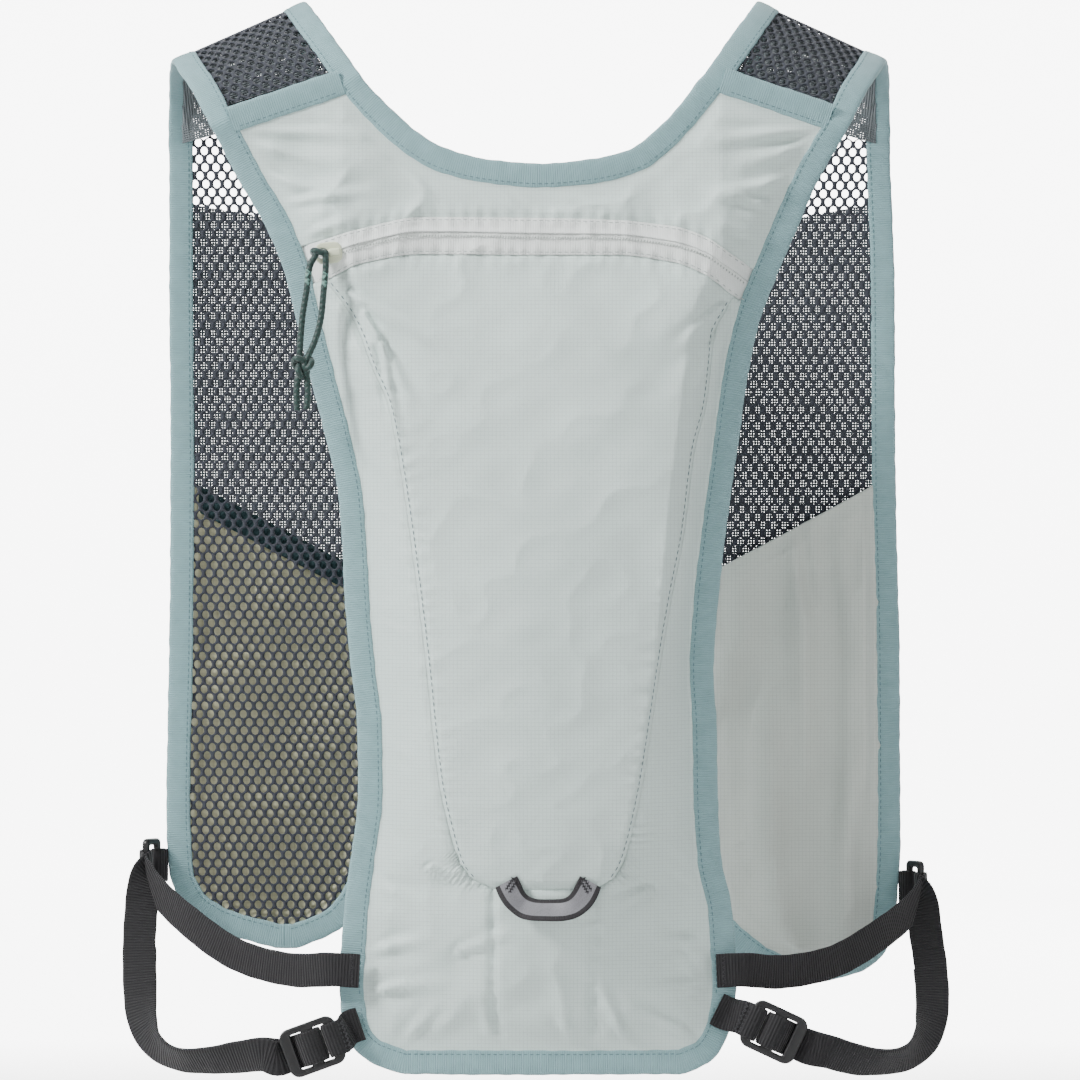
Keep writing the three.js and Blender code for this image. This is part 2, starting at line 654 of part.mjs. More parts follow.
// Lower back, a U of cloth between the binding and the centre panel
const lowerStations = (() => {
  const turn = -BODY_HEIGHT * LOWER_TURN;
  const side = ({ name, sign }) => {
    const seam = inset(centreEdge[name], -CLEAR * 1.5, sign, false);
    const end = seam[seam.length - 1];
    seam.push([end[0], CENTRE_END - CLEAR]);
    const top = zipPoint("bottom", sign < 0 ? 0 : 1)[1];
    const seamTop = centreTop(sign < 0 ? 0 : 1);
    const down = (line, from, t) => {
      const z = mix(from, turn, t);
      return [xAt(line, z), z];
    };
    const cornerOf = (line, t, low) => {
      const z = mix(turn, low, t);
      return [xAt(line, z), z];
    };
    const upper = steps(12).map((t) => [down(bodyIn[name], top, t), down(seam, seamTop, t)]);
    const lower = [0.2, 0.4, 0.6, 0.75, 0.87, 0.95, 1].map((t) => [
      cornerOf(bodyIn[name], t, HEM_IN),
      cornerOf(seam, t, CENTRE_END - CLEAR),
    ]);
    return [...upper, ...lower];
  };
  const [left, right] = SIDES.map(side);
  const [a, b] = [left[left.length - 1], right[right.length - 1]];
  const bottom = [0.2, 0.4, 0.6, 0.8].map((t) => [0, 1].map((k) => [mix(a[k][0], b[k][0], t), a[k][1]]));
  return [...left, ...bottom, ...right.reverse()];
})();
add(
  "lower_back",
  wall(
    lowerStations.map(([outer, inner]) =>
      steps(4).map((t) => onPouch(mix(outer[0], inner[0], t), mix(outer[1], inner[1], t))),
    ),
    OUT,
    OUT + WALL,
    true,
  ),
  RIPSTOP,
);

// A tape is a wall two points wide, thickened to both sides of its middle.
const tape = (pairs, thick) => wall(pairs, -thick / 2, thick / 2);
const MIDDLE = BINDING_THICK / 2; // the binding's middle lies this far outside the back sheet

// Pairs of outer and inner points of a binding along a line of the back
function backPairs(outerLine, innerLine) {
  return outerLine.map(([x, z], i) => {
    const [ix, iz] = innerLine[i];
    const lift = (px, pz) => new THREE.Vector3(px, backY(px, pz) - MIDDLE, pz);
    return [lift(x, z), lift(ix, iz)];
  });
}

// A shoulder edge of the binding, from the cross strip over the crest to the front panel
function shoulderPairs(name, edge) {
  const places = steps(14).map((t) => t * (SHOULDER.length - 1));
  return places.map((place) => {
    const outer = onShoulder(name, place, edge === "outer" ? 0 : 1);
    const other = onShoulder(name, place, edge === "outer" ? 1 : 0);
    const inward = other.clone().sub(outer).normalize();
    const settle = new THREE.Vector3(0, place < 1 ? -MIDDLE * (1 - place) : 0, 0);
    return [outer.clone().add(settle), outer.clone().addScaledVector(inward, BINDING).add(settle)];
  });
}

// Front panel edges and how deep the panel hangs
const frontEdge = {};
const frontIn = {};
const frontY = (down) => FRONT_DEPTH * (0.95 + 0.05 * Math.sin(Math.PI * clamp(down, 0, 1)));
SIDES.forEach(({ name, sign }) => {
  const table = FRONT_EDGE[name];
  const height = FRONT_HEIGHT[name];
  frontEdge[name] = {
    outer: edgeLine(table, "outer", height, HALF_SPAN, sign),
    inner: edgeLine(table, "inner", height, HALF_SPAN, sign),
  };
  frontIn[name] = {
    outer: inset(frontEdge[name].outer, BINDING, sign),
    inner: inset(frontEdge[name].inner, BINDING, -sign),
  };
});
const onFront = (name, x, z) => new THREE.Vector3(x, frontY(-z / FRONT_HEIGHT[name]), z);
const frontPairs = (name, edge) =>
  frontEdge[name][edge]
    .map(([x, z], i) => [onFront(name, x, z), onFront(name, ...frontIn[name][edge][i])])
    .filter((_, i) => i % 2 === 0);

// Hem binding round the bottom of the back; the armhole bindings end where it starts.
const HEM_FROM = -BODY_HEIGHT * HEM_START;
const hemPart = (name, sign, low) => {
  const outer = bodyEdge[name];
  const inner = inset(outer, BINDING, sign);
  const keep = outer.map(([, z]) => (low ? z < HEM_FROM - CLEAR : z > HEM_FROM));
  return backPairs(
    outer.filter((_, i) => keep[i]),
    inner.filter((_, i) => keep[i]),
  );
};
const hemLeft = hemPart("left", -1, true);
const hemRight = hemPart("right", 1, true).reverse();
add("hem_binding", tape([...hemLeft, ...hemRight], BINDING_THICK), TAPE);

// Armhole bindings: up the side of the back, over the shoulder, down the front and round its hem
SIDES.forEach(({ name, sign }) => {
  const meet = shoulders[name][0].outer.z;
  const side = hemPart(name, sign, false)
    .filter(([outer], i) => outer.z < meet - STEP / 2 && i % 2 === 0)
    .reverse();
  const front = frontPairs(name, "outer").slice(1);
  add(
    name + "_armhole_binding",
    tape([...side, ...shoulderPairs(name, "outer"), ...front], BINDING_THICK),
    TAPE,
  );
});

// Neck binding: up one front opening, round the neck and down the other one
const neckPairs = backPairs(neckCurve(0), neckCurve(BINDING)).slice(1, -1);
const fronts = SIDES.map(({ name }) => [
  ...shoulderPairs(name, "inner"),
  ...frontPairs(name, "inner").slice(1),
]);
const neckStart = fronts[0].reverse();
add("neck_binding", tape([...neckStart, ...neckPairs, ...fronts[1]], BINDING_THICK), TAPE);

// Cross strips, between a yoke and the back
const flat = (x, z) => new THREE.Vector3(x, backY(x, z) - MIDDLE, z);
SIDES.forEach(({ name, sign }) => {
  const station = shoulders[name][0];
  const from = mix(station.outer.x, station.inner.x, STRIP_ENDS.outer);
  const to = mix(station.outer.x, station.inner.x, STRIP_ENDS.inner);
  const edge = (side) => (t) => {
    const x = mix(from, to, t) + sign * side * stripHalf * STRIP_FALL;
    return flat(x, stripLine(mix(from, to, t)) + side * stripHalf);
  };
  const pairs = steps(5).map((t) => [edge(1)(t), edge(-1)(t)]);
  add(name + "_cross_strip", tape(pairs, BINDING_THICK), TAPE);
});

// Yokes of hole mesh over the shoulders
SIDES.forEach(({ name }) => {
  const from = YOKE_FROM;
  const to = SHOULDER.length - 1;
  const place = (v) => mix(from, to, v);
  const at = (u, v) => {
    const [outer, inner] = [onShoulder(name, place(v), 0), onShoulder(name, place(v), 1)];
    const margin = (BINDING + CLEAR) / outer.distanceTo(inner);
    return outer.lerp(inner, mix(margin, 1 - margin, u));
  };
  add(name + "_yoke", wall(grid(steps(12), steps(5), at), -WALL / 2, WALL / 2), MESH);
});

// Front panels of hole mesh, with a fine net from the chest down and a ripstop pocket below it.
// Layers on the far side of the mesh stand out from it towards +Y, on the near side towards -Y.
function frontLayer({ name, sign }, topOuter, topInner, near, far, rows, shape = () => 0) {
  const height = FRONT_HEIGHT[name];
  const gap = BINDING + EDGE_GAP;
  const outer = inset(frontEdge[name].outer, gap, sign);
  const inner = inset(frontEdge[name].inner, gap, -sign);
  const low = -height + gap;
  const at = (u, v) => {
    const z = mix(mix(topOuter, topInner, u), low, v);
    const point = onFront(name, mix(xAt(outer, z), xAt(inner, z), u), z);
    return point.setY(point.y - shape(u, -z / height));
  };
  const cloth = grid(rows, steps(6), at);
  return sign > 0 ? wall(cloth, near, far) : wall(cloth, -near, -far);
}
const fullRows = [...steps(14).slice(0, -1), 0.965, 1];
SIDES.forEach((side) => {
  const { outer, inner } = shoulders[side.name][SHOULDER.length - 1];
  const margin = BINDING / outer.distanceTo(inner);
  const tops = [margin, 1 - margin].map((share) => mix(outer.z, inner.z, share) - 2 * CLEAR);
  add(side.name + "_front_panel", frontLayer(side, ...tops, -WALL / 2, WALL / 2, fullRows), MESH);
});
const out = WALL / 2 + LAYER_GAP; // first layer beside the mesh
const heightOf = (share) => -FRONT_HEIGHT.left * share;
SIDES.forEach((side) => {
  const nets = [heightOf(NET_TOP.outer), heightOf(NET_TOP.inner)];
  const net = frontLayer(side, ...nets, out, out + WALL, fullRows.filter((_, i) => i % 2 === 0));
  add(side.name + "_net_layer", net, NET);
});
const pocketTops = [heightOf(POCKET_TOP.outer), heightOf(POCKET_TOP.inner)];
const second = out + WALL + LAYER_GAP;
const gathers = (u, down) =>
  GATHERS.reduce((sum, g) => {
    const along = clamp((down - g.from) / (g.to - g.from), 0, 1);
    return sum + g.deep * Math.sin(Math.PI * along) * Math.exp(-(((u - g.across) / g.wide) ** 2));
  }, 0);
add("left_front_pocket", frontLayer(SIDES[0], ...pocketTops, second, second + WALL, fullRows), RIPSTOP);
add(
  "right_front_pocket",
  frontLayer(SIDES[1], ...pocketTops, -out - WALL, -out, fullRows, gathers),
  RIPSTOP,
);

// Webbing: a flat band along rows of a centre point and the direction of its width
function band(rows, width, thick) {
  const pairs = rows.map(({ at, wide }, i) => {
    const along = rows[Math.min(rows.length - 1, i + 1)].at.clone().sub(rows[Math.max(0, i - 1)].at);
    along.normalize();
    const side = wide.clone().addScaledVector(along, -wide.dot(along)).normalize();
    return [1, -1].map((end) => at.clone().addScaledVector(side, (end * width) / 2));
  });
  return tape(pairs, thick);
}
// The direction of a band's width: up, leant over in the plane of the back, then turned forwards
function leant(sign, lean, turn) {
  const [a, b] = [THREE.MathUtils.degToRad(lean), THREE.MathUtils.degToRad(turn)];
  return new THREE.Vector3(-sign * Math.sin(a) * Math.cos(b), Math.sin(b), Math.cos(a) * Math.cos(b));
}
// A smooth run of points and directions through a few chosen ones
function run(rows, count) {
  const smooth = (key) => new THREE.CatmullRomCurve3(rows.map((r) => r[key]), false, "centripetal");
  const [at, wide] = [smooth("at"), smooth("wide")];
  return steps(count).map((t) => ({ at: at.getPoint(t), wide: wide.getPoint(t) }));
}
const UP = new THREE.Vector3(0, 0, 1);

// A plate with slots, cut from a rounded rectangle and lying in the plane of the back
function plate(long, wide, thick, slots, corner) {
  const shape = new THREE.Shape();
  const [x, y] = [long / 2, wide / 2];
  shape.moveTo(-x + corner, -y);
  shape.lineTo(x - corner, -y);
  shape.quadraticCurveTo(x, -y, x, -y + corner);
  shape.lineTo(x, y - corner);
  shape.quadraticCurveTo(x, y, x - corner, y);
  shape.lineTo(-x + corner, y);
  shape.quadraticCurveTo(-x, y, -x, y - corner);
  shape.lineTo(-x, -y + corner);
  shape.quadraticCurveTo(-x, -y, -x + corner, -y);
  slots.forEach(({ at, long: slot, wide: across }) => {
    const hole = new THREE.Path();
    hole.moveTo(at - slot / 2, -across / 2);
    hole.lineTo(at - slot / 2, across / 2);
    hole.lineTo(at + slot / 2, across / 2);
    hole.lineTo(at + slot / 2, -across / 2);
    shape.holes.push(hole);
  });
  const geometry = new THREE.ExtrudeGeometry(shape, { depth: thick, bevelEnabled: false, curveSegments: 3 });
  return geometry.translate(0, 0, -thick / 2);
}
function placed(geometry, at, matrix) {
  return geometry.applyMatrix4(matrix).translate(at.x, at.y, at.z);
}

SIDES.forEach(({ name, sign }) => {
  const place = HARDWARE[name];
  const height = (share) => -BODY_HEIGHT * share;
  const bodyAt = (share, inwards, outwards) => {
    const z = height(share);
    const x = xAt(bodyEdge[name], z) - sign * inwards;
    return new THREE.Vector3(x, backY(x, z) - outwards, z);
  };
  const onBinding = BINDING_THICK + CLEAR + WEBBING_THICK / 2;
  const start = bodyAt(place.strapDown, STRAP_SEWN, onBinding);

  // Ring, seen nearly edge on: its long side stands up, and the strap wraps round its outer bar
  const tilt = THREE.MathUtils.degToRad(RING_TURN);
  const inner = new THREE.Vector3(-sign * Math.sin(tilt), Math.cos(tilt), 0); // towards the tab's bar
  const ringAt = new THREE.Vector3(
    sign * HALF_SPAN * place.ringOut,
    FRONT_DEPTH - RING_BACK,
    height(place.ringDown),
  );
  const ringBasis = new THREE.Matrix4().makeBasis(UP, inner, UP.clone().cross(inner));
  const hole = [{ at: 0, long: RING_LONG - 2 * BAR, wide: RING_WIDE - 2 * BAR }];
  add(name + "_ring", placed(plate(RING_LONG, RING_WIDE, BAR, hole, 2), ringAt, ringBasis), BLACK, 0.45);
  const bar = ringAt.clone().addScaledVector(inner, -(RING_WIDE - BAR) / 2);
  const tabBar = ringAt.clone().addScaledVector(inner, (RING_WIDE - BAR) / 2);
  const bend = BAR * 0.75 + 2 * CLEAR + WEBBING_THICK / 2;

  // Strap: sewn to the edge of the back, out to the ring, round its bar and down to the ladder lock
  const round = (centre, angle) => {
    const a = THREE.MathUtils.degToRad(angle);
    const swing = new THREE.Vector3(-sign * Math.cos(a), Math.sin(a), 0);
    return { at: centre.clone().addScaledVector(swing, bend), wide: UP };
  };
  const meet = round(bar, WRAP_FROM).at;
  const reach = STRAP_RUN.map(({ way, back, sag }) => ({
    at: new THREE.Vector3(
      mix(start.x, meet.x, way),
      start.y * back,
      mix(start.z, meet.z, way ** 2) - sag * BODY_HEIGHT,
    ),
    wide: UP,
  }));
  const wrapped = steps(5).map((t) => round(bar, mix(WRAP_FROM, WRAP_TO, t)));
  const tiltBack = THREE.MathUtils.degToRad(place.tilt);
  const lockX = new THREE.Vector3(-sign * Math.cos(tiltBack), 0, Math.sin(tiltBack)); // towards the body
  const lockAt = new THREE.Vector3(
    xAt(bodyEdge[name], height(place.lockDown)) + sign * (place.lockGap + LOCK_LONG / 2),
    -BACK_DEPTH - LOCK_BACK,
    height(place.lockDown),
  );
  const alongLock = (distance) => lockAt.clone().addScaledVector(lockX, distance);
  const lockEnd = alongLock(-LOCK_LONG / 2 - 2 * CLEAR);
  const lockNear = alongLock(-LOCK_LONG / 2 - WEBBING / 3);
  const ringEnd = wrapped[wrapped.length - 1].at;
  const loopRows = (inwards) =>
    STRAP_LOOP[name].map(({ out: o, down, back, lean, turn }) => {
      const centre = new THREE.Vector3(
        mix(ringEnd.x, lockEnd.x, o),
        mix(ringEnd.y, lockEnd.y, back),
        mix(ringEnd.z, lockEnd.z, down),
      );
      const wide = leant(sign, lean, turn);
      return { at: centre.setY(centre.y + inwards), wide };
    });
  const lockWide = leant(sign, -180 - place.tilt, 0);
  const loop = [...loopRows(0), { at: lockNear, wide: lockWide }, { at: lockEnd, wide: lockWide }];
  const strap = [...run(reach, 9), ...wrapped, ...run(loop, 22)];
  add(name + "_strap", band(strap, WEBBING, WEBBING_THICK), BLACK, 0.9);

  // The free tail runs back behind the strap
  const tailRows = loopRows(TAIL_BEHIND).slice(TAIL_FROM);
  const tailEnd = { at: lockEnd.clone().setY(lockEnd.y + TAIL_BEHIND), wide: lockWide };
  const tail = band(run([...tailRows, tailEnd], 14), WEBBING * TAIL_WIDTH, WEBBING_THICK);
  add(name + "_strap_tail", tail, BLACK, 0.9);

  // Ring tab, round the ring's inner bar and back to the edge of the front panel
  const edgeAt = onFront(name, xAt(frontEdge[name].outer, ringAt.z) + sign * 6 * CLEAR, ringAt.z);
  const towards = THREE.MathUtils.radToDeg(Math.atan2(edgeAt.y - tabBar.y, sign * (tabBar.x - edgeAt.x)));
  const across = UP.clone().cross(edgeAt.clone().sub(tabBar)).normalize().multiplyScalar(WEBBING_THICK);
  const tab = [
    { at: edgeAt.clone().addScaledVector(across, sign), wide: UP },
    ...steps(6).map((t) => round(tabBar, towards - mix(80, 280, t))),
    { at: edgeAt.clone().addScaledVector(across, -sign), wide: UP },
  ];
  add(name + "_ring_tab", band(tab, WEBBING, WEBBING_THICK), BLACK, 0.9);

  // Ladder lock with its two slots, and the tab that holds it to the corner of the back
  const lockBasis = new THREE.Matrix4().makeBasis(
    lockX,
    lockX.clone().cross(new THREE.Vector3(0, 1, 0)).negate(),
    lockX.clone().cross(lockX.clone().cross(new THREE.Vector3(0, 1, 0)).negate()),
  );
  const slots = [-1, 1].map((end) => ({
    at: (end * LOCK_LONG) / 5,
    long: LOCK_LONG / 5,
    wide: WEBBING + 1 + end * CLEAR,
  }));
  const lock = plate(LOCK_LONG, LOCK_WIDE, LOCK_THICK, slots, LOCK_THICK);
  add(name + "_ladder_lock", placed(lock, lockAt, lockBasis), BLACK, 0.45);
  const corner = bodyAt(place.tabDown, TAB_SEWN, onBinding + 6 * CLEAR);
  const near = corner.clone().addScaledVector(lockX, -WEBBING / 3);
  const tabRows = [
    alongLock(LOCK_LONG / 2 + 2.5 * CLEAR),
    alongLock(LOCK_LONG / 2 + WEBBING / 5),
    near,
    corner,
  ].map((at) => ({ at, wide: lockWide }));
  add(name + "_lock_tab", band(run(tabRows, 7), WEBBING, WEBBING_THICK), BLACK, 0.9);
});

// Chest strap between the front panels, with a plain clasp, as one piece
{
  const z = -CHEST_DROP;
  const half = (name) => xAt(frontEdge[name].inner, z);
  const y = frontY(CHEST_DROP / FRONT_HEIGHT.left);
  const [left, right] = [half("left") + 3 * CLEAR, half("right") - 3 * CLEAR];
  const clasp = CLASP.long / 2;
  const corners = [[-1, -1], [1, -1], [1, 1], [-1, 1]];
  const column = (x, high, thick) =>
    corners.map(([a, b]) => new THREE.Vector3(x, y + (a * thick) / 2, z + (b * high) / 2));
  const columns = [
    column(left, WEBBING, WEBBING_THICK),
    column(-clasp - 2, WEBBING, WEBBING_THICK),
    column(-clasp, CLASP.high, CLASP.thick),
    column(clasp, CLASP.high, CLASP.thick),
    column(clasp + 2, WEBBING, WEBBING_THICK),
    column(right, WEBBING, WEBBING_THICK),
  ];
  add("chest_strap", sections(columns), BLACK, 0.7);
}

// A closed body through rings of points, with flat ends
function sections(rings) {
  const count = rings[0].length;
  const faces = [];
  rings.slice(0, -1).forEach((_, r) => {
    for (let i = 0; i < count; i += 1) {
      const [a, b] = [r * count + i, r * count + ((i + 1) % count)];
      faces.push([a, b, b + count], [a, b + count, a + count]);
    }
  });
  const end = (rings.length - 1) * count;
  for (let i = 1; i < count - 1; i += 1) faces.push([0, i + 1, i], [end, end + i, end + i + 1]);
  return solid(rings.flat(), faces);
}

// Zip slider with an eye for its pull, at the left end of the slit
const sliderX = SLIDER_OUT * HALF_BODY;
const sliderZ = -BODY_HEIGHT * read(ZIP, "across", "slit", SLIDER_OUT);
const slope = [-1, 1].map((end) => pouchY(sliderX + (end * SLIDER.long) / 2, sliderZ - SLIDER.wide / 2));
const sliderY = Math.min(...slope) - OUT - 2 * WALL - SLIDER.thick / 2;
{
  const eye = [{ at: -SLIDER.long / 4, long: SLIDER.eye, wide: SLIDER.eye }];
  const facing = new THREE.Matrix4().makeRotationX(Math.PI / 2);
  const at = new THREE.Vector3(sliderX, sliderY, sliderZ);
  add("zip_slider", placed(plate(SLIDER.long, SLIDER.wide, SLIDER.thick, eye, 3), at, facing), PALE, 0.5);
}

// Zip pull: a doubled cord through the eye, a knot and two tails
const eyeX = sliderX - SLIDER.long / 4;
const pullY = sliderY - SLIDER.thick / 2 - CLEAR - CORD / 2;
function cord(points) {
  const curve = new THREE.CatmullRomCurve3(points, false, "centripetal");
  const section = new THREE.Shape();
  steps(CORD_SIDES).slice(0, -1).forEach((t, i) => {
    const [x, y] = [Math.cos(t * 2 * Math.PI), Math.sin(t * 2 * Math.PI)].map((v) => (v * CORD) / 2);
    if (i === 0) section.moveTo(x, y);
    else section.lineTo(x, y);
  });
  const count = Math.max(4, Math.round(curve.getLength() / (2 * CORD)));
  return new THREE.ExtrudeGeometry(section, { steps: count, extrudePath: curve, curveSegments: 1 });
}
const hang = ({ out: o, down }) => {
  const [x, z] = [eyeX + o, sliderZ - down * PULL_DROP];
  return new THREE.Vector3(x, Math.min(pullY, pouchY(x, z) - OUT - WALL - CORD), z);
};
SIDES.forEach(({ name }) => {
  add(name + "_cord", cord(STRANDS[name].map(hang)), GREEN);
});
const knotAt = hang(KNOT_AT);
const knot = new THREE.SphereGeometry(KNOT / 2, 10, 6).scale(1.25, 0.85, 1.15);
add("cord_knot", knot.translate(knotAt.x, knotAt.y, knotAt.z), GREEN);
SIDES.forEach(({ name }) => {
  add(name + "_cord_tail", cord(TAILS[name].map(hang)), GREEN);
});

// Reflective loop below the centre panel: both ends lie on the cloth, its middle is flat and stands off
{
  const onCloth = (x, z, stand) => {
    const nearest = Math.min(...[-1, 0, 1].map((side) => pouchY(x, z + (side * LOOP_WIDTH) / 2)));
    return nearest - OUT - WALL - stand - WEBBING_THICK / 2;
  };
  const last = 10;
  const arc = steps(last).map((t, i) => {
    const x = mix(LOOP.left, LOOP.right, t) * HALF_BODY;
    const z = -BODY_HEIGHT * (LOOP.down + LOOP.sag * (1 - mix(-1, 1, t) ** 4));
    const isEnd = i === 0 || i === last;
    return { x, z, y: onCloth(x, z, isEnd ? LOOP_SEAT : LOOP_STAND) };
  });
  const level = Math.min(...arc.slice(3, -3).map((p) => p.y));
  const rows = arc.map(({ x, y, z }, i) => ({
    at: new THREE.Vector3(x, i > 2 && i < last - 2 ? level : y, z),
    wide: UP.clone().setX((last / 2 - i) * LOOP.fan),
  }));
  add("reflective_loop", band(rows, LOOP_WIDTH, WEBBING_THICK), "#77777c", 0.4);
}

export default vest;
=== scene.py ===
# Running hydration vest on a pale floor, seen from behind: the cloth, tapes, webbing and cord that dress
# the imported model. Metres. +Z is up, the wearer faces +Y, and the origin lies between the shoulders.
import math

import bmesh
import bpy
import numpy as np
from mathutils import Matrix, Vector


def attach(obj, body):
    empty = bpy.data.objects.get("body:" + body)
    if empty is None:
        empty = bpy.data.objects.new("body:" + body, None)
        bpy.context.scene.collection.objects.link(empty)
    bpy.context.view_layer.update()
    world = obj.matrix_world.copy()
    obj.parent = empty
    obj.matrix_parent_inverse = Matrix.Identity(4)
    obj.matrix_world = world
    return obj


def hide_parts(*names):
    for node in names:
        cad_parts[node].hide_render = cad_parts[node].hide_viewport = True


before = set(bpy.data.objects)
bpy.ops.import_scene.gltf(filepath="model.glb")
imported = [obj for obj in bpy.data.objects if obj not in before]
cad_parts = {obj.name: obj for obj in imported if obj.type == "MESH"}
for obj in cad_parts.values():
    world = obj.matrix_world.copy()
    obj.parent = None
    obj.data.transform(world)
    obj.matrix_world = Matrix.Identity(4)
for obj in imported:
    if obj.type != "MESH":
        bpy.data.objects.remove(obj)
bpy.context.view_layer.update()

# Camera, level with the middle of the back, and a round floor of pale paper that curves up to a wall all
# round. Soft lights stand high at the left of the camera, lower at its right, over the shoulders and before
# the wearer. The far paper behind the vest glows by itself, so that the holes of the mesh show white.
CAMERA_AT = (0.0022, -2.46, -0.2244)
LENS = 181.8
FLOOR = -0.56


def material_of(name):
    """A new material with its node tree, its shader and a function that adds one node to it."""
    made = bpy.data.materials.new(name)
    made.use_nodes = True
    tree = made.node_tree

    def node(kind, inputs=None, **settings):
        new = tree.nodes.new("ShaderNode" + kind)
        for key, value in settings.items():
            setattr(new, key, value)
        for socket, value in (inputs or {}).items():
            if isinstance(value, bpy.types.NodeSocket):
                tree.links.new(value, new.inputs[socket])
            else:
                new.inputs[socket].default_value = value
        return new

    return made, tree.nodes["Principled BSDF"], node


def dress(made, shader, **values):
    """Sets sockets of the shader: numbers and colours go straight on it, and outputs are linked to it."""
    for key, value in values.items():
        socket = shader.inputs[key.replace("_", " ")]
        if isinstance(value, bpy.types.NodeSocket):
            made.node_tree.links.new(value, socket)
        elif isinstance(value, tuple) and len(value) == 3:
            socket.default_value = (*value, 1)
        else:
            socket.default_value = value
    return made


def shade(red, green, blue):
    """A colour given as 0 to 255 in sRGB, as the linear values that a shader takes."""
    parts = np.array([red, green, blue]) / 255
    linear = np.where(parts <= 0.04045, parts / 12.92, ((parts + 0.055) / 1.055) ** 2.4)
    return tuple(float(x) for x in linear)


def as_mesh(name, points, faces):
    """A mesh object at the origin from an array of points and a list of faces."""
    mesh = bpy.data.meshes.new(name)
    mesh.from_pydata(np.asarray(points).tolist(), [], [list(map(int, face)) for face in faces])
    mesh.update()
    made = bpy.data.objects.new(name, mesh)
    bpy.context.scene.collection.objects.link(made)
    return made


camera_data = bpy.data.cameras.new("camera")
camera_data.sensor_width = 36
camera_data.lens = LENS
camera_data.clip_end = 50
camera = bpy.data.objects.new("camera", camera_data)
camera.location = CAMERA_AT
camera.rotation_euler = (math.pi / 2, 0, 0)
bpy.context.scene.collection.objects.link(camera)
bpy.context.scene.camera = camera

turn = np.linspace(0, math.pi / 2, 17)
reach = np.concatenate([[0.02, 1.2, 2.2], 3.0 + 0.8 * np.sin(turn), [3.8]])
rise = np.concatenate([[0, 0, 0], 0.8 * (1 - np.cos(turn)), [2.6]])
round_way = np.linspace(0, 2 * math.pi, 96, endpoint=False)[None]
around_x, around_y = reach[:, None] * np.cos(round_way), reach[:, None] * np.sin(round_way)
bowl = np.stack([around_x, around_y, FLOOR + rise[:, None] + 0 * round_way], -1)
i, k = np.meshgrid(np.arange(len(reach) - 1), np.arange(96), indexing="ij")
quads = np.stack([i * 96 + k, (i + 1) * 96 + k, (i + 1) * 96 + (k + 1) % 96, i * 96 + (k + 1) % 96], -1)
paper = as_mesh("paper_bowl", bowl.reshape(-1, 3), [*quads.reshape(-1, 4), range(96)])
for polygon in paper.data.polygons:
    polygon.use_smooth = True
paper_finish, paper_shader, node = material_of("pale_paper")
parts = node("SeparateXYZ", {"Vector": node("TexCoord").outputs["Object"]})
deep = node("MapRange", {"Value": parts.outputs["Y"], "From Min": 0.5, "From Max": 1.2, "To Max": 6.5})
aside = node("Math", {0: parts.outputs["X"]}, operation="ABSOLUTE")
fade = {"To Min": 1.0, "To Max": 0.0}
middle = node("MapRange", {"Value": aside.outputs[0], "From Min": 0.75, "From Max": 1.1, **fade})
low = node("MapRange", {"Value": parts.outputs["Z"], "From Min": 0.5, "From Max": 0.8, **fade})
patch = node("Math", {0: middle.outputs[0], 1: low.outputs[0]}, operation="MULTIPLY")
glow = node("Math", {0: deep.outputs[0], 1: patch.outputs[0]}, operation="MULTIPLY")
dress(
    paper_finish,
    paper_shader,
    Base_Color=shade(215, 215, 215),
    Roughness=0.9,
    Emission_Color=(1.0, 1.0, 1.0),
    Emission_Strength=glow.outputs[0],
)
paper.data.materials.append(paper_finish)

# Name, place, side and watts of each light
LIGHTS = (
    ("key_light", (-2.0, -1.0, 1.25), 0.6, 104),
    ("fill_light", (1.6, -2.4, -0.2), 1.5, 15),
    ("top_light", (0.2, -0.35, 1.9), 0.7, 22),
    ("front_light", (0.6, 2.2, 0.6), 1.5, 26),
)
for light_name, place, size, watts in LIGHTS:
    lamp = bpy.data.lights.new(light_name, "AREA")
    lamp.size = size
    lamp.energy = watts
    light = bpy.data.objects.new(light_name, lamp)
    light.location = place
    light.rotation_euler = (Vector((0, 0, -0.23)) - Vector(place)).to_track_quat("-Z", "Y").to_euler()
    bpy.context.scene.collection.objects.link(light)
world = bpy.data.worlds.new("soft_room")
world.use_nodes = True
world.node_tree.nodes["Background"].inputs["Color"].default_value = (0.95, 0.975, 1, 1)
world.node_tree.nodes["Background"].inputs["Strength"].default_value = 0.3
bpy.context.scene.world = world

# Zip pull: a doubled teal cord, braided with a pale fleck, 2.8 mm thick. It is looped through the eye of
# the slider, both strands are tied in one knot, and two short tails hang below it. Each strand is one
# piece with its tail, because the cord runs on through the knot.
PULL_EYE = (-0.09414, -0.0571, -0.09775)
PULL_DROP = 0.058
CORD_THICK = 0.0028
# Millimetres across from the eye, and down as a share of the drop
PULL_ROUTES = {
    "left": [
        (-1.7, -0.01), (-3.2, 0.04), (-5.0, 0.1), (-6.6, 0.3), (-8.4, 0.5), (-9.4, 0.775), (-9.0, 0.86),
        (-10.2, 0.944), (-10.9, 1.08), (-10.6, 1.2),
    ],
    "right": [
        (1.7, -0.01), (2.0, 0.09), (1.0, 0.3), (-0.2, 0.5), (-2.6, 0.66), (-5.6, 0.78), (-7.4, 0.86),
        (-6.4, 0.944), (-5.9, 1.08), (-6.6, 1.19),
    ],
}


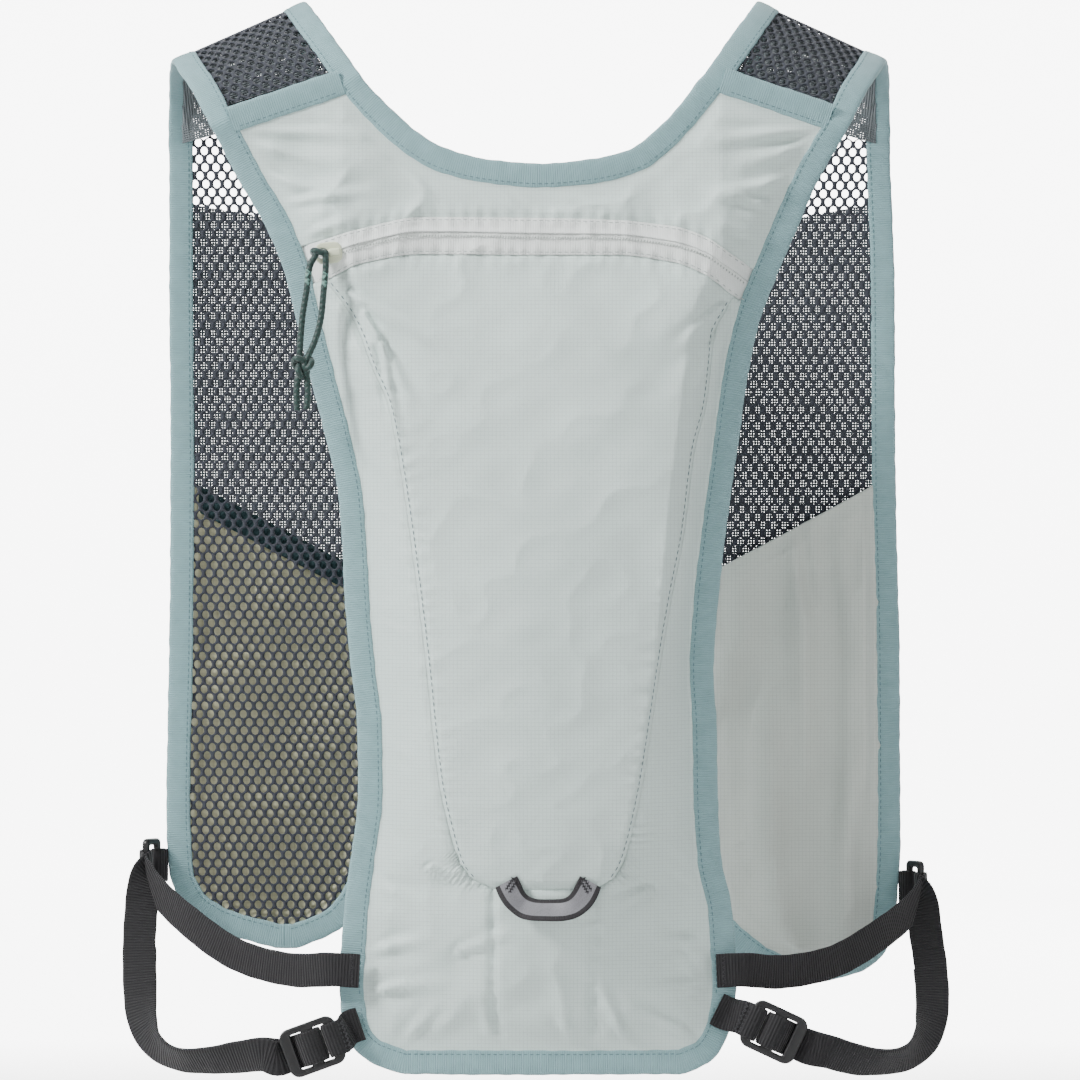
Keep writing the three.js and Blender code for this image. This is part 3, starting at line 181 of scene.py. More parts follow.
def curve_through(points, count):
    """Centripetal Catmull-Rom line: between knots t_i, spaced by the square root of the distance between
    points, p(t) is the cubic Hermite whose tangents are the usual three-point differences."""
    points = np.asarray(points, float)
    points = np.vstack([2 * points[0] - points[1], points, 2 * points[-1] - points[-2]])
    gap = np.sqrt(np.linalg.norm(np.diff(points, axis=0), axis=1)) + 1e-9
    place = np.linspace(0, len(points) - 3, count)
    i = np.minimum(place.astype(int), len(points) - 4) + 1
    t = (place - (i - 1))[:, None]
    g0, g1, g2 = gap[i - 1][:, None], gap[i][:, None], gap[i + 1][:, None]
    a, b, c, d = points[i - 1], points[i], points[i + 1], points[i + 2]
    m1 = ((b - a) / g0 - (c - a) / (g0 + g1) + (c - b) / g1) * g1
    m2 = ((c - b) / g1 - (d - b) / (g1 + g2) + (d - c) / g2) * g1
    return ((2 * b - 2 * c + m1 + m2) * t + (-3 * b + 3 * c - 2 * m1 - m2)) * t * t + m1 * t + b


def even(path, step):
    """The same line with its points a given step apart."""
    run = np.concatenate([[0], np.cumsum(np.linalg.norm(np.diff(path, axis=0), axis=1))])
    at = np.linspace(0, run[-1], max(3, int(round(run[-1] / step)) + 1))
    return np.stack([np.interp(at, run, path[:, k]) for k in range(3)], 1), at


def unit(vectors):
    """Each vector divided by its length."""
    return vectors / np.maximum(np.linalg.norm(vectors, axis=-1, keepdims=True), 1e-12)


def swept(path, side, section):
    """A closed skin: ring j lies at p_j + a n_j + b s_j, for each (a, b) of the section there, with s the
    side direction made square to the path and n = s x tangent. Both ends are closed by flat caps."""
    along = unit(np.gradient(path, axis=0))
    side = unit(side - along * np.sum(side * along, 1, keepdims=True))
    normal = np.cross(side, along)
    rings = path[:, None] + section[..., :1] * normal[:, None] + section[..., 1:] * side[:, None]
    count, around = rings.shape[:2]
    j, k = np.meshgrid(np.arange(count - 1), np.arange(around), indexing="ij")
    follow = (k + 1) % around
    here, beyond = j * around, (j + 1) * around
    quads = np.stack([here + k, here + follow, beyond + follow, beyond + k], -1)
    faces = quads.reshape(-1, 4).tolist()
    faces += [list(range(around))[::-1], list(range((count - 1) * around, count * around))]
    return rings.reshape(-1, 3), faces


def outward(points, faces):
    """The faces, turned over if the volume that they close, a sum of corner triple products, is negative."""
    quads = np.array([face[:4] if len(face) > 3 else [*face, face[-1]] for face in faces if len(face) < 5])
    p = np.asarray(points)[quads]
    volume = np.sum(p[:, 0] * (np.cross(p[:, 1], p[:, 2]) + np.cross(p[:, 2], p[:, 3])))
    return [face[::-1] for face in faces] if volume < 0 else faces


def vest_piece(name, points, faces, finish, nodes=(), uv=None, sharp=None):
    """Puts a computed surface on the vest: it rides on the one body, takes its finish and stands for the
    plain solids named. Its map holds metres of cloth, along and across."""
    made = as_mesh(name, points, outward(points, faces))
    made.data.shade_smooth()
    if sharp:
        made.data.set_sharp_from_angle(angle=math.radians(sharp))
    if uv is not None:
        corners = np.zeros(len(made.data.loops), int)
        made.data.loops.foreach_get("vertex_index", corners)
        made.data.uv_layers.new(name="cloth").data.foreach_set("uv", np.asarray(uv)[corners].ravel())
    made.data.materials.append(finish)
    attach(made, "root")
    if nodes:
        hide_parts(*nodes)
    return made


def joined(*shapes):
    """Several (points, faces) as one."""
    starts = np.cumsum([0] + [len(points) for points, _ in shapes])
    faces = [[start + k for k in face] for start, (_, more) in zip(starts, shapes) for face in more]
    return np.concatenate([points for points, _ in shapes]), faces


def braided(name, cloth, fleck):
    """Braid on the map: two families of slanting strands with painted shade between them, and one strand in
    several of a pale colour.
    """
    made, shader, node = material_of(name)
    place = node("TexCoord").outputs["UV"]
    waves = []
    for angle in (0.62, -0.62):
        turned = node("Mapping", {"Vector": place, "Rotation": (0, 0, angle), "Scale": (1, 1, 1)})
        wave = node("TexWave", {"Vector": turned.outputs[0], "Scale": 150.0}, wave_profile="SIN")
        waves.append(wave.outputs["Fac"])
    strands = node("Math", {0: waves[0], 1: waves[1]}, operation="MAXIMUM").outputs[0]
    spots = node("TexVoronoi", {"Vector": place, "Scale": 420.0}, feature="F1")
    pale = node("Math", {0: spots.outputs["Color"], 1: 0.84}, operation="GREATER_THAN").outputs[0]
    lit = node("Math", {0: pale, 1: strands}, operation="MULTIPLY").outputs[0]
    # Painted shade: between the strands the cord takes 0.45 of its own colour.
    ground = node(
        "Mix", {"Factor": strands, "A": (*[c * 0.45 for c in cloth], 1), "B": (*cloth, 1)}, data_type="RGBA"
    )
    mixed = node(
        "Mix", {"Factor": lit, "A": ground.outputs["Result"], "B": (*fleck, 1)}, data_type="RGBA"
    )
    bump = node("Bump", {"Height": strands, "Strength": 0.6, "Distance": 0.0003})
    return dress(
        made,
        shader,
        Base_Color=mixed.outputs["Result"],
        Roughness=0.55,
        Sheen_Weight=0.3,
        Normal=bump.outputs[0],
    )


cord_finish = braided("teal_braid", shade(2, 48, 42), shade(104, 146, 136))


def cord_skin(path, thick):
    """A braided tube: its radius r (1 + 0.05 cos(4a + ks) cos(4a - ks)) swells where two strands cross."""
    path, run = even(path, 0.0005)
    turn = np.linspace(0, 2 * math.pi, 20, endpoint=False)
    lay = run[:, None] * 1400
    radius = thick / 2 * (1 + 0.05 * np.cos(4 * turn + lay) * np.cos(4 * turn - lay))
    section = np.stack([radius * np.cos(turn), radius * np.sin(turn)], -1)
    points, faces = swept(path, np.tile([0.02, 1.0, 0.03], (len(path), 1)), section)
    uv = np.stack(np.broadcast_arrays(run[:, None], turn / (2 * math.pi) * 0.0088), -1).reshape(-1, 2)
    return points, faces, uv, path, run[-1]


eye = np.array(PULL_EYE)
for side_name, route in PULL_ROUTES.items():
    stations = np.array([[0.001 * out, 0, -PULL_DROP * down] for out, down in route]) + eye
    stations[6, 1] += 0.0012 if side_name == "left" else -0.0012
    points, faces, uv, line, length = cord_skin(curve_through(stations, 160), CORD_THICK)
    cord = vest_piece(
        f"pull_cord_{side_name}",
        points,
        faces,
        cord_finish,
        (f"{side_name}_cord", f"{side_name}_cord_tail"),
        uv,
    )

# The knot is the overhand form that both strands make together: a flattened trefoil of the same cord.
turn = np.linspace(0, 2 * math.pi, 240, endpoint=False)
trefoil = np.stack(
    [np.sin(turn) + 2 * np.sin(2 * turn), -np.sin(3 * turn), np.cos(turn) - 2 * np.cos(2 * turn)], 1
)
knot_middle = eye + [-0.0082, 0, -PULL_DROP * 0.86]
knot_line = trefoil * [0.00145, 0.0021, 0.00155] + knot_middle
knot_line = np.vstack([knot_line, knot_line[:1]])
points, faces, uv, _, _ = cord_skin(knot_line, CORD_THICK)
knot = vest_piece("pull_knot", points, faces, cord_finish, ("cord_knot",), uv)
turn = np.linspace(-0.9, 1.25, 40) * math.pi
hitch_line = np.stack([0.0026 * np.cos(turn), 0.0021 * np.sin(turn), 0.0004 * np.sin(2 * turn)], 1)
points, faces, uv, _, _ = cord_skin(hitch_line + eye + [-0.0012, 0.0014, 0.0004], CORD_THICK)
hitch = vest_piece("pull_hitch", points, faces, cord_finish, (), uv)

# Back panel: the sheet that lies on the wearer's back, a spacer mesh with small round dimples. It is cut
# to the outline of the back, swings in towards the shoulders and runs under the bindings all round.
BODY_HEIGHT = 0.461
HALF_BODY = 0.084
HALF_SPAN = 0.168
BACK_DEPTH = 0.046
STRIP_DEPTH = 0.038
FRONT_DEPTH = 0.044
RISE = 0.05
WRAP = 0.006
SPACER_THICK = 0.0011
UNDER_TAPE = 0.0055  # how far in from the outline the cloths end, inside the folded binding
PAST_TAPE = 0.01195  # how far in from the outline the cloths come free of the binding
TAPE_WIDE = 0.011
# Down as a share of the height, and out at the left and at the right as shares of half the back
BODY_EDGE = np.array([
    (0.055, 1.818, 1.77), (0.093, 1.702, 1.649), (0.141, 1.565, 1.496), (0.189, 1.412, 1.38),
    (0.234, 1.317, 1.275), (0.278, 1.259, 1.185), (0.336, 1.18, 1.117), (0.391, 1.101, 1.075),
    (0.445, 1.038, 1.033), (0.496, 1.017, 0.996), (0.551, 1.001, 0.964), (0.613, 0.97, 0.943),
    (0.665, 0.938, 0.959), (0.728, 0.933, 0.964), (0.794, 0.975, 0.985), (0.838, 1.006, 1.038),
    (0.877, 1.022, 1.054), (0.913, 1.033, 1.064), (0.948, 1.017, 1.043), (0.972, 0.97, 0.996),
    (0.989, 0.87, 0.92), (1.0, 0.7, 0.78),
])
# Across and down, as the same shares
NECK = np.array([
    (-0.918, 0.041), (-0.823, 0.06), (-0.723, 0.078), (-0.623, 0.094), (-0.475, 0.11), (-0.238, 0.121),
    (0.026, 0.125), (0.29, 0.121), (0.501, 0.111), (0.633, 0.093), (0.754, 0.07), (0.892, 0.037),
])
STRIP_INNER, STRIP_INNER_UP, STRIP_FALL = 0.46, -0.11, 0.3375
SIDES = {"left": -1, "right": 1}


def monotone(xs, ys, at):
    """Cubic Hermite through the points (x_i, y_i), with the harmonic mean of the two slopes beside each
    point as its tangent, or 0 where they differ in sign, so that it never overshoots."""
    h = np.diff(xs)
    slope = np.diff(ys) / h
    product = slope[:-1] * slope[1:]
    total = np.where(product > 0, slope[:-1] + slope[1:], 1)
    tangent = np.concatenate([slope[:1], np.where(product > 0, 2 * product / total, 0), slope[-1:]])
    at = np.clip(at, xs[0], xs[-1])
    i = np.clip(np.searchsorted(xs, at) - 1, 0, len(h) - 1)
    t = (at - xs[i]) / h[i]
    m0, m1 = tangent[i] * h[i], tangent[i + 1] * h[i]
    y0, y1 = ys[i], ys[i + 1]
    return ((2 * y0 - 2 * y1 + m0 + m1) * t + (-3 * y0 + 3 * y1 - 2 * m0 - m1)) * t * t + m0 * t + y0


def edge_of(table, column, height, across, sign):
    """Points (x, z) down an edge: x is the table's share of across, and z the share of the height."""
    down = np.linspace(table[0, 0], table[-1, 0], 180)
    return np.stack([sign * across * monotone(table[:, 0], table[:, column], down), -height * down], 1)


def set_in(line, distance, sign):
    """Each point moved by a distance along the line's own normal, towards the middle of the cloth."""
    slope = unit(np.gradient(line, axis=0))
    return line + distance * np.stack([sign * slope[:, 1], -sign * slope[:, 0]], 1)


def x_at(line, z):
    """x of a falling line at the heights z."""
    order = np.argsort(line[:, 1])
    return np.interp(z, line[order, 1], line[order, 0])


body_edge = {
    name: edge_of(BODY_EDGE, 1 if sign < 0 else 2, BODY_HEIGHT, HALF_BODY, sign)
    for name, sign in SIDES.items()
}
cloth_edge = {name: set_in(body_edge[name], UNDER_TAPE, sign) for name, sign in SIDES.items()}
seam_edge = {name: set_in(body_edge[name], PAST_TAPE, sign) for name, sign in SIDES.items()}
neck_x = np.linspace(NECK[0, 0], NECK[-1, 0], 160)
neck_edge = np.stack([neck_x * HALF_BODY, -BODY_HEIGHT * monotone(NECK[:, 0], NECK[:, 1], neck_x)], 1)


def strip_z(x):
    """Height of the line where the yokes meet the back: it falls evenly to both sides."""
    return HALF_SPAN * STRIP_INNER_UP - STRIP_FALL * (np.abs(x) - HALF_SPAN * STRIP_INNER)


def top_z(x, below):
    """The lower of the neck line and the yokes' line, moved down by a distance: the top of the cloths."""
    neck = set_in(neck_edge, below, 1)
    order = np.argsort(neck[:, 0])
    under_neck = np.interp(x, neck[order, 0], neck[order, 1], left=1.0, right=1.0)
    return np.minimum(under_neck, strip_z(x) - (below - UNDER_TAPE) * 1.05)


def back_y(x, z):
    """Depth of the back: -(strip + (back - strip - curl) (1 - e^((z - strip line) / rise)))."""
    settled = 1 - np.exp(np.minimum(0, z - strip_z(x)) / RISE)
    return -(STRIP_DEPTH + (BACK_DEPTH - STRIP_DEPTH - WRAP * (x / HALF_BODY) ** 2) * settled)


def across(top, bottom, rows, columns, left, right):
    """A grid of (x, z) between two lines across the back: z = top(x) + (bottom(x) - top(x)) v, with the
    ends of each row on the side lines."""
    v, u = np.meshgrid(np.linspace(0, 1, rows), np.linspace(0, 1, columns), indexing="ij")
    z = np.full(u.shape, -0.09)
    for _ in range(12):
        x = left(z) + (right(z) - left(z)) * u
        z = top(x) + (bottom(x) - top(x)) * v
    return left(z) + (right(z) - left(z)) * u, z


def left_end(z):
    """x where the cloth ends at the left."""
    return x_at(cloth_edge["left"], z)


def right_end(z):
    """x where the cloth ends at the right."""
    return x_at(cloth_edge["right"], z)


def sheet_of(grid, thick):
    """A closed sheet: the grid, its copy moved along the normals n = dp/du x dp/dv, and a rim. Its map is
    the length run along the rows and down the columns."""
    down, over = np.gradient(grid, axis=0), np.gradient(grid, axis=1)
    normal = unit(np.cross(over, down))
    layers = np.stack([grid, grid + thick * normal])
    rows, columns = grid.shape[:2]
    number = np.arange(2 * rows * columns).reshape(2, rows, columns)
    faces = []
    for layer, order in ((0, (0, 1, 2, 3)), (1, (3, 2, 1, 0))):
        n = number[layer]
        corners = np.stack([n[:-1, :-1], n[:-1, 1:], n[1:, 1:], n[1:, :-1]], -1).reshape(-1, 4)
        faces += corners[:, order].tolist()
    ring = np.concatenate([number[0, 0, :], number[0, 1:, -1], number[0, -1, -2::-1], number[0, -2:0:-1, 0]])
    other = ring + rows * columns
    follow, after = np.roll(ring, -1), np.roll(other, -1)
    faces += np.stack([ring, other, after, follow], 1).tolist()
    along = np.cumsum(np.linalg.norm(np.diff(grid, axis=1, prepend=grid[:, :1]), axis=2), axis=1)
    along -= along[:, columns // 2][:, None]
    fall = np.cumsum(np.linalg.norm(np.diff(grid, axis=0, prepend=grid[:1]), axis=2), axis=0)
    uv = np.tile(np.stack([along, -fall], -1).reshape(-1, 2), (2, 1))
    return layers.reshape(-1, 3), faces, uv


def cut_of(grid):
    """What a sheet was cut to: its middle row's and middle column's length, and its area, as the sum of the
    cells' sides multiplied."""
    over, down = np.diff(grid, axis=1)[:-1], np.diff(grid, axis=0)[:, :-1]
    area = float(np.linalg.norm(np.cross(over, down), axis=2).sum())
    wide = float(np.linalg.norm(np.diff(grid, axis=1), axis=2).sum(1).max())
    long = float(np.linalg.norm(np.diff(grid, axis=0), axis=2).sum(0).max())
    return (round(wide, 3), round(long, 3)), round(min(area, wide * long), 5)


def ripple(x, z, size, seed):
    """Soft unevenness from -1 to 1: the mean of seven sine waves whose directions, lengths near the size
    and phases come from one seed."""
    dice = np.random.default_rng(seed)
    angle, phase = dice.uniform(0, math.pi, 7), dice.uniform(0, 2 * math.pi, 7)
    pace = 2 * math.pi / (size * dice.uniform(0.7, 1.5, 7))
    total = sum(np.sin((x * math.cos(a) + z * math.sin(a)) * k + p) for a, k, p in zip(angle, pace, phase))
    return total / 4.2


HEM_Z = -BODY_HEIGHT + UNDER_TAPE
x, z = across(lambda x: top_z(x, UNDER_TAPE), lambda x: HEM_Z + 0 * x, 150, 96, left_end, right_end)
back_grid = np.stack([x, back_y(x, z) + 0.0002 * ripple(x, z, 0.03, 3), z], -1)

spacer_finish, shader, node = material_of("spacer_mesh")
place = node("TexCoord").outputs["UV"]
dimples = node("TexVoronoi", {"Vector": place, "Scale": 380.0, "Randomness": 0.12}, feature="F1")
depth = node("MapRange", {"Value": dimples.outputs["Distance"], "From Min": 0.18, "From Max": 0.5})
# Painted shade: the sunken middles of the dimples take the darker colour, the rims the paler one.
tone = node(
    "Mix",
    {"Factor": depth.outputs[0], "A": (*shade(120, 132, 134), 1), "B": (*shade(196, 205, 205), 1)},
    data_type="RGBA",
)
bump = node("Bump", {"Height": depth.outputs[0], "Strength": 0.9, "Distance": 0.0006})
dress(
    spacer_finish,
    shader,
    Base_Color=tone.outputs["Result"],
    Roughness=0.85,
    Sheen_Weight=0.25,
    Normal=bump.outputs[0],
)
points, faces, uv = sheet_of(back_grid, SPACER_THICK)
back_sheet = vest_piece("back_spacer_mesh", points, faces, spacer_finish, ("back_panel",), uv)
flat, area = cut_of(back_grid)

# Pouch: thin ripstop nylon in three pieces over the back panel, part filled, so that it stands out most
# along the seams of the centre panel. It is gathered a little at each seam and creased at the shoulders.
BULGE = 0.027
RIPSTOP_THICK = 0.0004
POUCH_OUT = 0.0024
# Down, and out at the left and at the right
CENTRE_EDGE = np.array([
    (0.23, 1.14, 1.12), (0.264, 0.994, 1.015), (0.289, 0.921, 0.945), (0.317, 0.864, 0.93),
    (0.355, 0.775, 0.905), (0.399, 0.722, 0.843), (0.48, 0.654, 0.785), (0.538, 0.612, 0.722),
    (0.592, 0.576, 0.67), (0.716, 0.502, 0.565), (0.76, 0.45, 0.515), (0.794, 0.393, 0.461),
    (0.81, 0.324, 0.403), (0.819, 0.22, 0.31),
])
# Across, and down to the top seam, the slit and the bottom seam
ZIP = np.array([
    (-1.4, 0.212, 0.228, 0.249), (-1.12, 0.199, 0.214, 0.238), (-0.909, 0.188, 0.202, 0.222),
    (-0.594, 0.177, 0.191, 0.213), (0.026, 0.178, 0.193, 0.214), (0.426, 0.18, 0.194, 0.214),
    (0.73, 0.186, 0.201, 0.221), (0.883, 0.195, 0.21, 0.232), (1.03, 0.212, 0.227, 0.25),
    (1.3, 0.244, 0.258, 0.281),
])
# Way down the pouch, and the share of the bulge there
FULLNESS = np.array([
    (0, 0), (0.08, 0.22), (0.2, 0.62), (0.35, 0.9), (0.55, 1), (0.72, 0.95), (0.86, 0.62), (0.95, 0.24),
    (1, 0),
])
# Folds, from a deep end to a shallow one: across and down at both ends, width as a share of half the
# back, depth as a share of the bulge.
FOLDS = (
    (-1.3, 0.12, -0.6, 0.17, 0.09, 0.07),
    (1.25, 0.12, 0.72, 0.16, 0.1, 0.08),
    (-1.05, 0.25, -0.5, 0.36, 0.1, 0.13),
    (1.0, 0.26, 0.6, 0.35, 0.1, 0.1),
    (-0.9, 0.42, -0.72, 0.62, 0.09, 0.1),
    (0.92, 0.44, 0.8, 0.66, 0.08, 0.08),
    (-0.9, 0.86, -0.45, 0.9, 0.1, 0.12),
    (0.9, 0.86, 0.5, 0.89, 0.1, 0.12),
    (0.75, 0.97, 0.4, 0.9, 0.07, 0.08),
)
# Creases, finer: across and down at both ends, width and height of the ridge in millimetres, and how
# much the part filled pouch lifts each of them.
CREASE_RISE = 2.4
CREASES = (
    (-1.62, 0.1, -1.0, 0.13, 2.2, 1.3),
    (-1.58, 0.125, -0.95, 0.165, 1.8, 1.2),
    (-1.5, 0.09, -0.85, 0.1, 2.0, 1.1),
    (-1.4, 0.165, -0.8, 0.15, 1.6, 0.9),
    (-1.3, 0.2, -0.9, 0.175, 1.6, 0.9),
    (1.6, 0.1, 1.0, 0.13, 2.2, 1.3),
    (1.55, 0.13, 0.92, 0.16, 1.8, 1.2),
    (1.48, 0.09, 0.85, 0.105, 2.0, 1.1),
    (1.38, 0.17, 0.85, 0.15, 1.6, 0.9),
    (1.25, 0.2, 0.95, 0.18, 1.6, 0.8),
    (-0.98, 0.25, -0.55, 0.3, 1.8, 1.2),
    (-0.9, 0.27, -0.62, 0.36, 1.6, 1.1),
    (-0.8, 0.3, -0.7, 0.42, 1.5, 0.8),
    (1.0, 0.26, 0.72, 0.31, 1.8, 1.0),
    (0.96, 0.29, 0.78, 0.37, 1.5, 0.9),
    (-1.2, 0.3, -0.95, 0.36, 1.6, 0.9),
    (-1.1, 0.36, -0.85, 0.4, 1.5, 0.9),
    (-0.98, 0.44, -0.7, 0.47, 1.4, 0.7),
    (-0.95, 0.56, -0.62, 0.58, 1.5, 0.7),
    (-0.92, 0.66, -0.6, 0.7, 1.5, 0.8),
    (0.95, 0.5, 0.78, 0.53, 1.4, 0.7),
    (0.94, 0.6, 0.72, 0.64, 1.5, 0.8),
    (0.94, 0.72, 0.66, 0.77, 1.6, 0.9),
    (-0.98, 0.8, -0.6, 0.84, 1.8, 1.2),
    (-1.0, 0.885, -0.55, 0.87, 1.8, 1.4),
    (-0.95, 0.92, -0.4, 0.91, 1.8, 1.2),
    (1.0, 0.88, 0.62, 0.87, 1.8, 1.4),
    (0.98, 0.915, 0.5, 0.92, 1.8, 1.2),
    (0.85, 0.965, 0.45, 0.93, 1.8, 1.2),
    (-0.7, 0.97, -0.5, 0.93, 1.7, 0.9),
    (-0.2, 0.975, -0.3, 0.92, 1.8, 0.9),
    (0.2, 0.975, 0.12, 0.93, 1.6, 0.8),
    (0.5, 0.975, 0.3, 0.9, 1.8, 1.0),
    (-0.4, 0.88, -0.1, 0.86, 1.8, 0.7),
    (0.6, 0.82, 0.35, 0.84, 1.6, 0.8),
    (-0.55, 0.8, -0.3, 0.83, 1.5, 0.7),
)


def seam_x(z, side):
    """x of a seam of the centre panel at the heights z."""
    column = CENTRE_EDGE[:, 1 if side == "left" else 2]
    return SIDES[side] * HALF_BODY * monotone(CENTRE_EDGE[:, 0], column, -z / BODY_HEIGHT)


def zip_z(x, column):
    """Height of the zip's top seam (1), its slit (2) or its bottom seam (3)."""
    return -BODY_HEIGHT * monotone(ZIP[:, 0], ZIP[:, column], x / HALF_BODY)


def beside(x, z, fold):
    """How far along a fold a point lies, from 0 to 1, and how far off it, in metres."""
    ax, az, bx, bz = fold[0] * HALF_BODY, -fold[1] * BODY_HEIGHT, fold[2] * HALF_BODY, -fold[3] * BODY_HEIGHT
    bx, bz = bx - ax, bz - az
    t = np.clip(((x - ax) * bx + (z - az) * bz) / (bx * bx + bz * bz), 0, 1)
    return t, np.hypot(x - ax - t * bx, z - az - t * bz)


def pouch_y(x, z):
    """Depth of the pouch: back - bulge x fullness(way down) x section(out). The section is
    1 - 0.14 (out / ridge)^2 as far as the centre panel's seam and falls as (1 - out)^0.8 beyond it.
    Each fold takes depth x e^(-(off / width)^2) from the bulge."""
    left, right = x_at(seam_edge["left"], z), x_at(seam_edge["right"], z)
    edge = np.where(x < 0, -left, right)
    top = top_z(x, PAST_TAPE)
    way = np.clip((top - z) / (top + BODY_HEIGHT - PAST_TAPE), 0, 1)
    down = -z / BODY_HEIGHT
    seam = np.where(
        x < 0,
        monotone(CENTRE_EDGE[:, 0], CENTRE_EDGE[:, 1], down),
        monotone(CENTRE_EDGE[:, 0], CENTRE_EDGE[:, 2], down),
    )
    ridge = np.clip(seam * HALF_BODY / edge, 0.3, 0.8)
    out = np.clip(np.abs(x) / edge, 0, 1)
    flank = 0.86 * (np.maximum(0, 1 - out) / (1 - ridge)) ** 0.8
    section = np.where(out > ridge, flank, 1 - 0.14 * (out / ridge) ** 2)
    bulge = BULGE * monotone(FULLNESS[:, 0], FULLNESS[:, 1], way) * section
    for fold in FOLDS:
        t, off = beside(x, z, fold)
        press = np.exp(-((off / (fold[4] * HALF_BODY)) ** 2)) * (1 - 0.6 * t)
        bulge = bulge - fold[5] * BULGE * press * np.minimum(1, bulge / 0.004)
    return back_y(x, z) - np.maximum(0, bulge)


def seam_distance(x, z):
    """Distance to the nearer seam of the centre panel and how far along it, both in metres."""
    seam = np.where(x < 0, seam_x(z, "left"), seam_x(z, "right"))
    lower = 0.003
    slope = (np.where(x < 0, seam_x(z - lower, "left"), seam_x(z - lower, "right")) - seam) / lower
    return np.abs(x - seam) / np.sqrt(1 + slope**2), -z * np.sqrt(1 + np.minimum(slope**2, 4))


def puckered(x, z):
    """The pouch with what sewing does to it, lifted towards -Y: a valley -1.6 mm e^(-(d / 2 mm)^2) along
    each seam, sine puckers that fade off the seams and the rim, creases e^(-(off / width)^2) with a dip
    beside each, and the slack cloth's soft crushing. Nearly all of it fades out at the bindings."""
    off, run = seam_distance(x, z)
    below_zip = zip_z(x, 3) - z
    on_centre = (below_zip > 0) & (-z / BODY_HEIGHT < 0.822)
    end_off = np.hypot(np.maximum(0, np.abs(x - 0.0035) - 0.019), z + 0.8195 * BODY_HEIGHT)
    off = np.where(on_centre, off, np.hypot(off, np.maximum(0, -below_zip)))
    near = np.minimum(off, end_off)
    lift = -0.0016 * np.exp(-((near / 0.002) ** 2))
    wave = np.sin(2 * math.pi * run / 0.0068 + 3 * ripple(x, z, 0.03, 5))
    wave = wave * (0.6 + 0.4 * ripple(x, z, 0.02, 8))
    lift = lift + 0.0006 * wave * np.exp(-((near / 0.007) ** 2))
    for column, depth in ((1, 0.0008), (3, 0.001)):
        gap = np.abs(z - zip_z(x, column))
        lift = lift - depth * np.exp(-((gap / 0.002) ** 2))
        lift = lift + 0.00035 * np.sin(x / 0.0011 + 2 * ripple(x, z, 0.03, 9)) * np.exp(-((gap / 0.005) ** 2))
    left, right = x_at(seam_edge["left"], z), x_at(seam_edge["right"], z)
    rim = np.minimum(top_z(x, PAST_TAPE) - z, z + BODY_HEIGHT - 0.012)
    rim = np.maximum(np.minimum(np.minimum(x - left, right - x), rim), 0)
    ruck = np.sin(2 * math.pi * (z * 0.9 + x * 0.45) / 0.0085 + 4 * ripple(x, z, 0.04, 11))
    ruck = ruck * (0.5 + 0.5 * ripple(x, z, 0.025, 14))
    lift = lift + 0.0009 * ruck * np.exp(-((rim - 0.003) / 0.006) ** 2)
    for crease in CREASES:
        t, away = beside(x, z, crease)
        wide = crease[4] / 1000 * (0.75 + 0.9 * t)
        shape = np.exp(-((away / wide) ** 2)) - 0.55 * np.exp(-(((away - 1.9 * wide) / wide) ** 2))
        lift = lift + CREASE_RISE * crease[5] / 1000 * (1 - t**1.4) * shape
    shoulders, hem = np.exp(-(((z + 0.075) / 0.03) ** 2)), np.exp(-(((z + 0.43) / 0.03) ** 2))
    slack = 0.0009 + 0.0012 * (shoulders + hem)
    crush = 1 - np.abs(ripple(x, z, 0.055, 21) + 0.45 * ripple(x, z, 0.022, 22)) ** 0.8
    lift = lift + slack * crush + 0.0012 * ripple(x, z, 0.09, 23)
    inside = np.clip(rim / 0.009, 0, 1) ** 1.5
    return pouch_y(x, z) - lift * (0.03 + 0.97 * inside)


def ripstop(name, cloth, line):
    """Ripstop on the map: a fine plain weave with a heavier thread each 1.7 mm both ways, a faint change of
    tone over the cloth and a soft sheen."""
    made, shader, node = material_of(name)
    place = node("TexCoord").outputs["UV"]
    grid = {"Vector": place, "Scale": 1.0, "Brick Width": 0.0017, "Row Height": 0.0017}
    threads = node("TexBrick", {**grid, "Mortar Size": 0.00017, "Mortar Smooth": 0.6}, offset=0.0)
    threads = threads.outputs["Fac"]
    grid = {"Vector": place, "Scale": 1.0, "Brick Width": 0.00034, "Row Height": 0.00034}
    weave = node("TexBrick", {**grid, "Mortar Size": 0.00004, "Mortar Smooth": 1.0})
    tone = node("TexNoise", {"Vector": place, "Scale": 22.0, "Detail": 3.0}).outputs["Fac"]
    slub = node("TexNoise", {"Vector": place, "Scale": 900.0, "Detail": 1.0}).outputs["Fac"]
    paled = {"Value": tone, "From Min": 0.3, "From Max": 0.7, "To Min": 0.955, "To Max": 1.02}
    worn = node("MapRange", paled).outputs[0]
    toned = node("Mix", {"Factor": 1.0, "A": (*cloth, 1), "B": worn}, data_type="RGBA", blend_type="MULTIPLY")
    amount = node("Math", {0: threads, 1: slub}, operation="MULTIPLY")
    amount = node("Math", {0: amount.outputs[0], 1: 0.6}, operation="MULTIPLY").outputs[0]
    mixed = node("Mix", {"Factor": amount, "A": toned.outputs["Result"], "B": (*line, 1)}, data_type="RGBA")
    fine = node("Bump", {"Height": weave.outputs["Fac"], "Strength": 0.25, "Distance": 0.00004})
    bump = node("Bump", {"Height": threads, "Strength": 0.55, "Distance": 0.00012, "Normal": fine.outputs[0]})
    return dress(
        made,
        shader,
        Base_Color=mixed.outputs["Result"],
        Roughness=0.52,
        Sheen_Weight=0.12,
        Specular_IOR_Level=0.4,
        Normal=bump.outputs[0],
    )


ripstop_finish = ripstop("pale_ripstop", shade(210, 226, 221), shade(150, 170, 168))


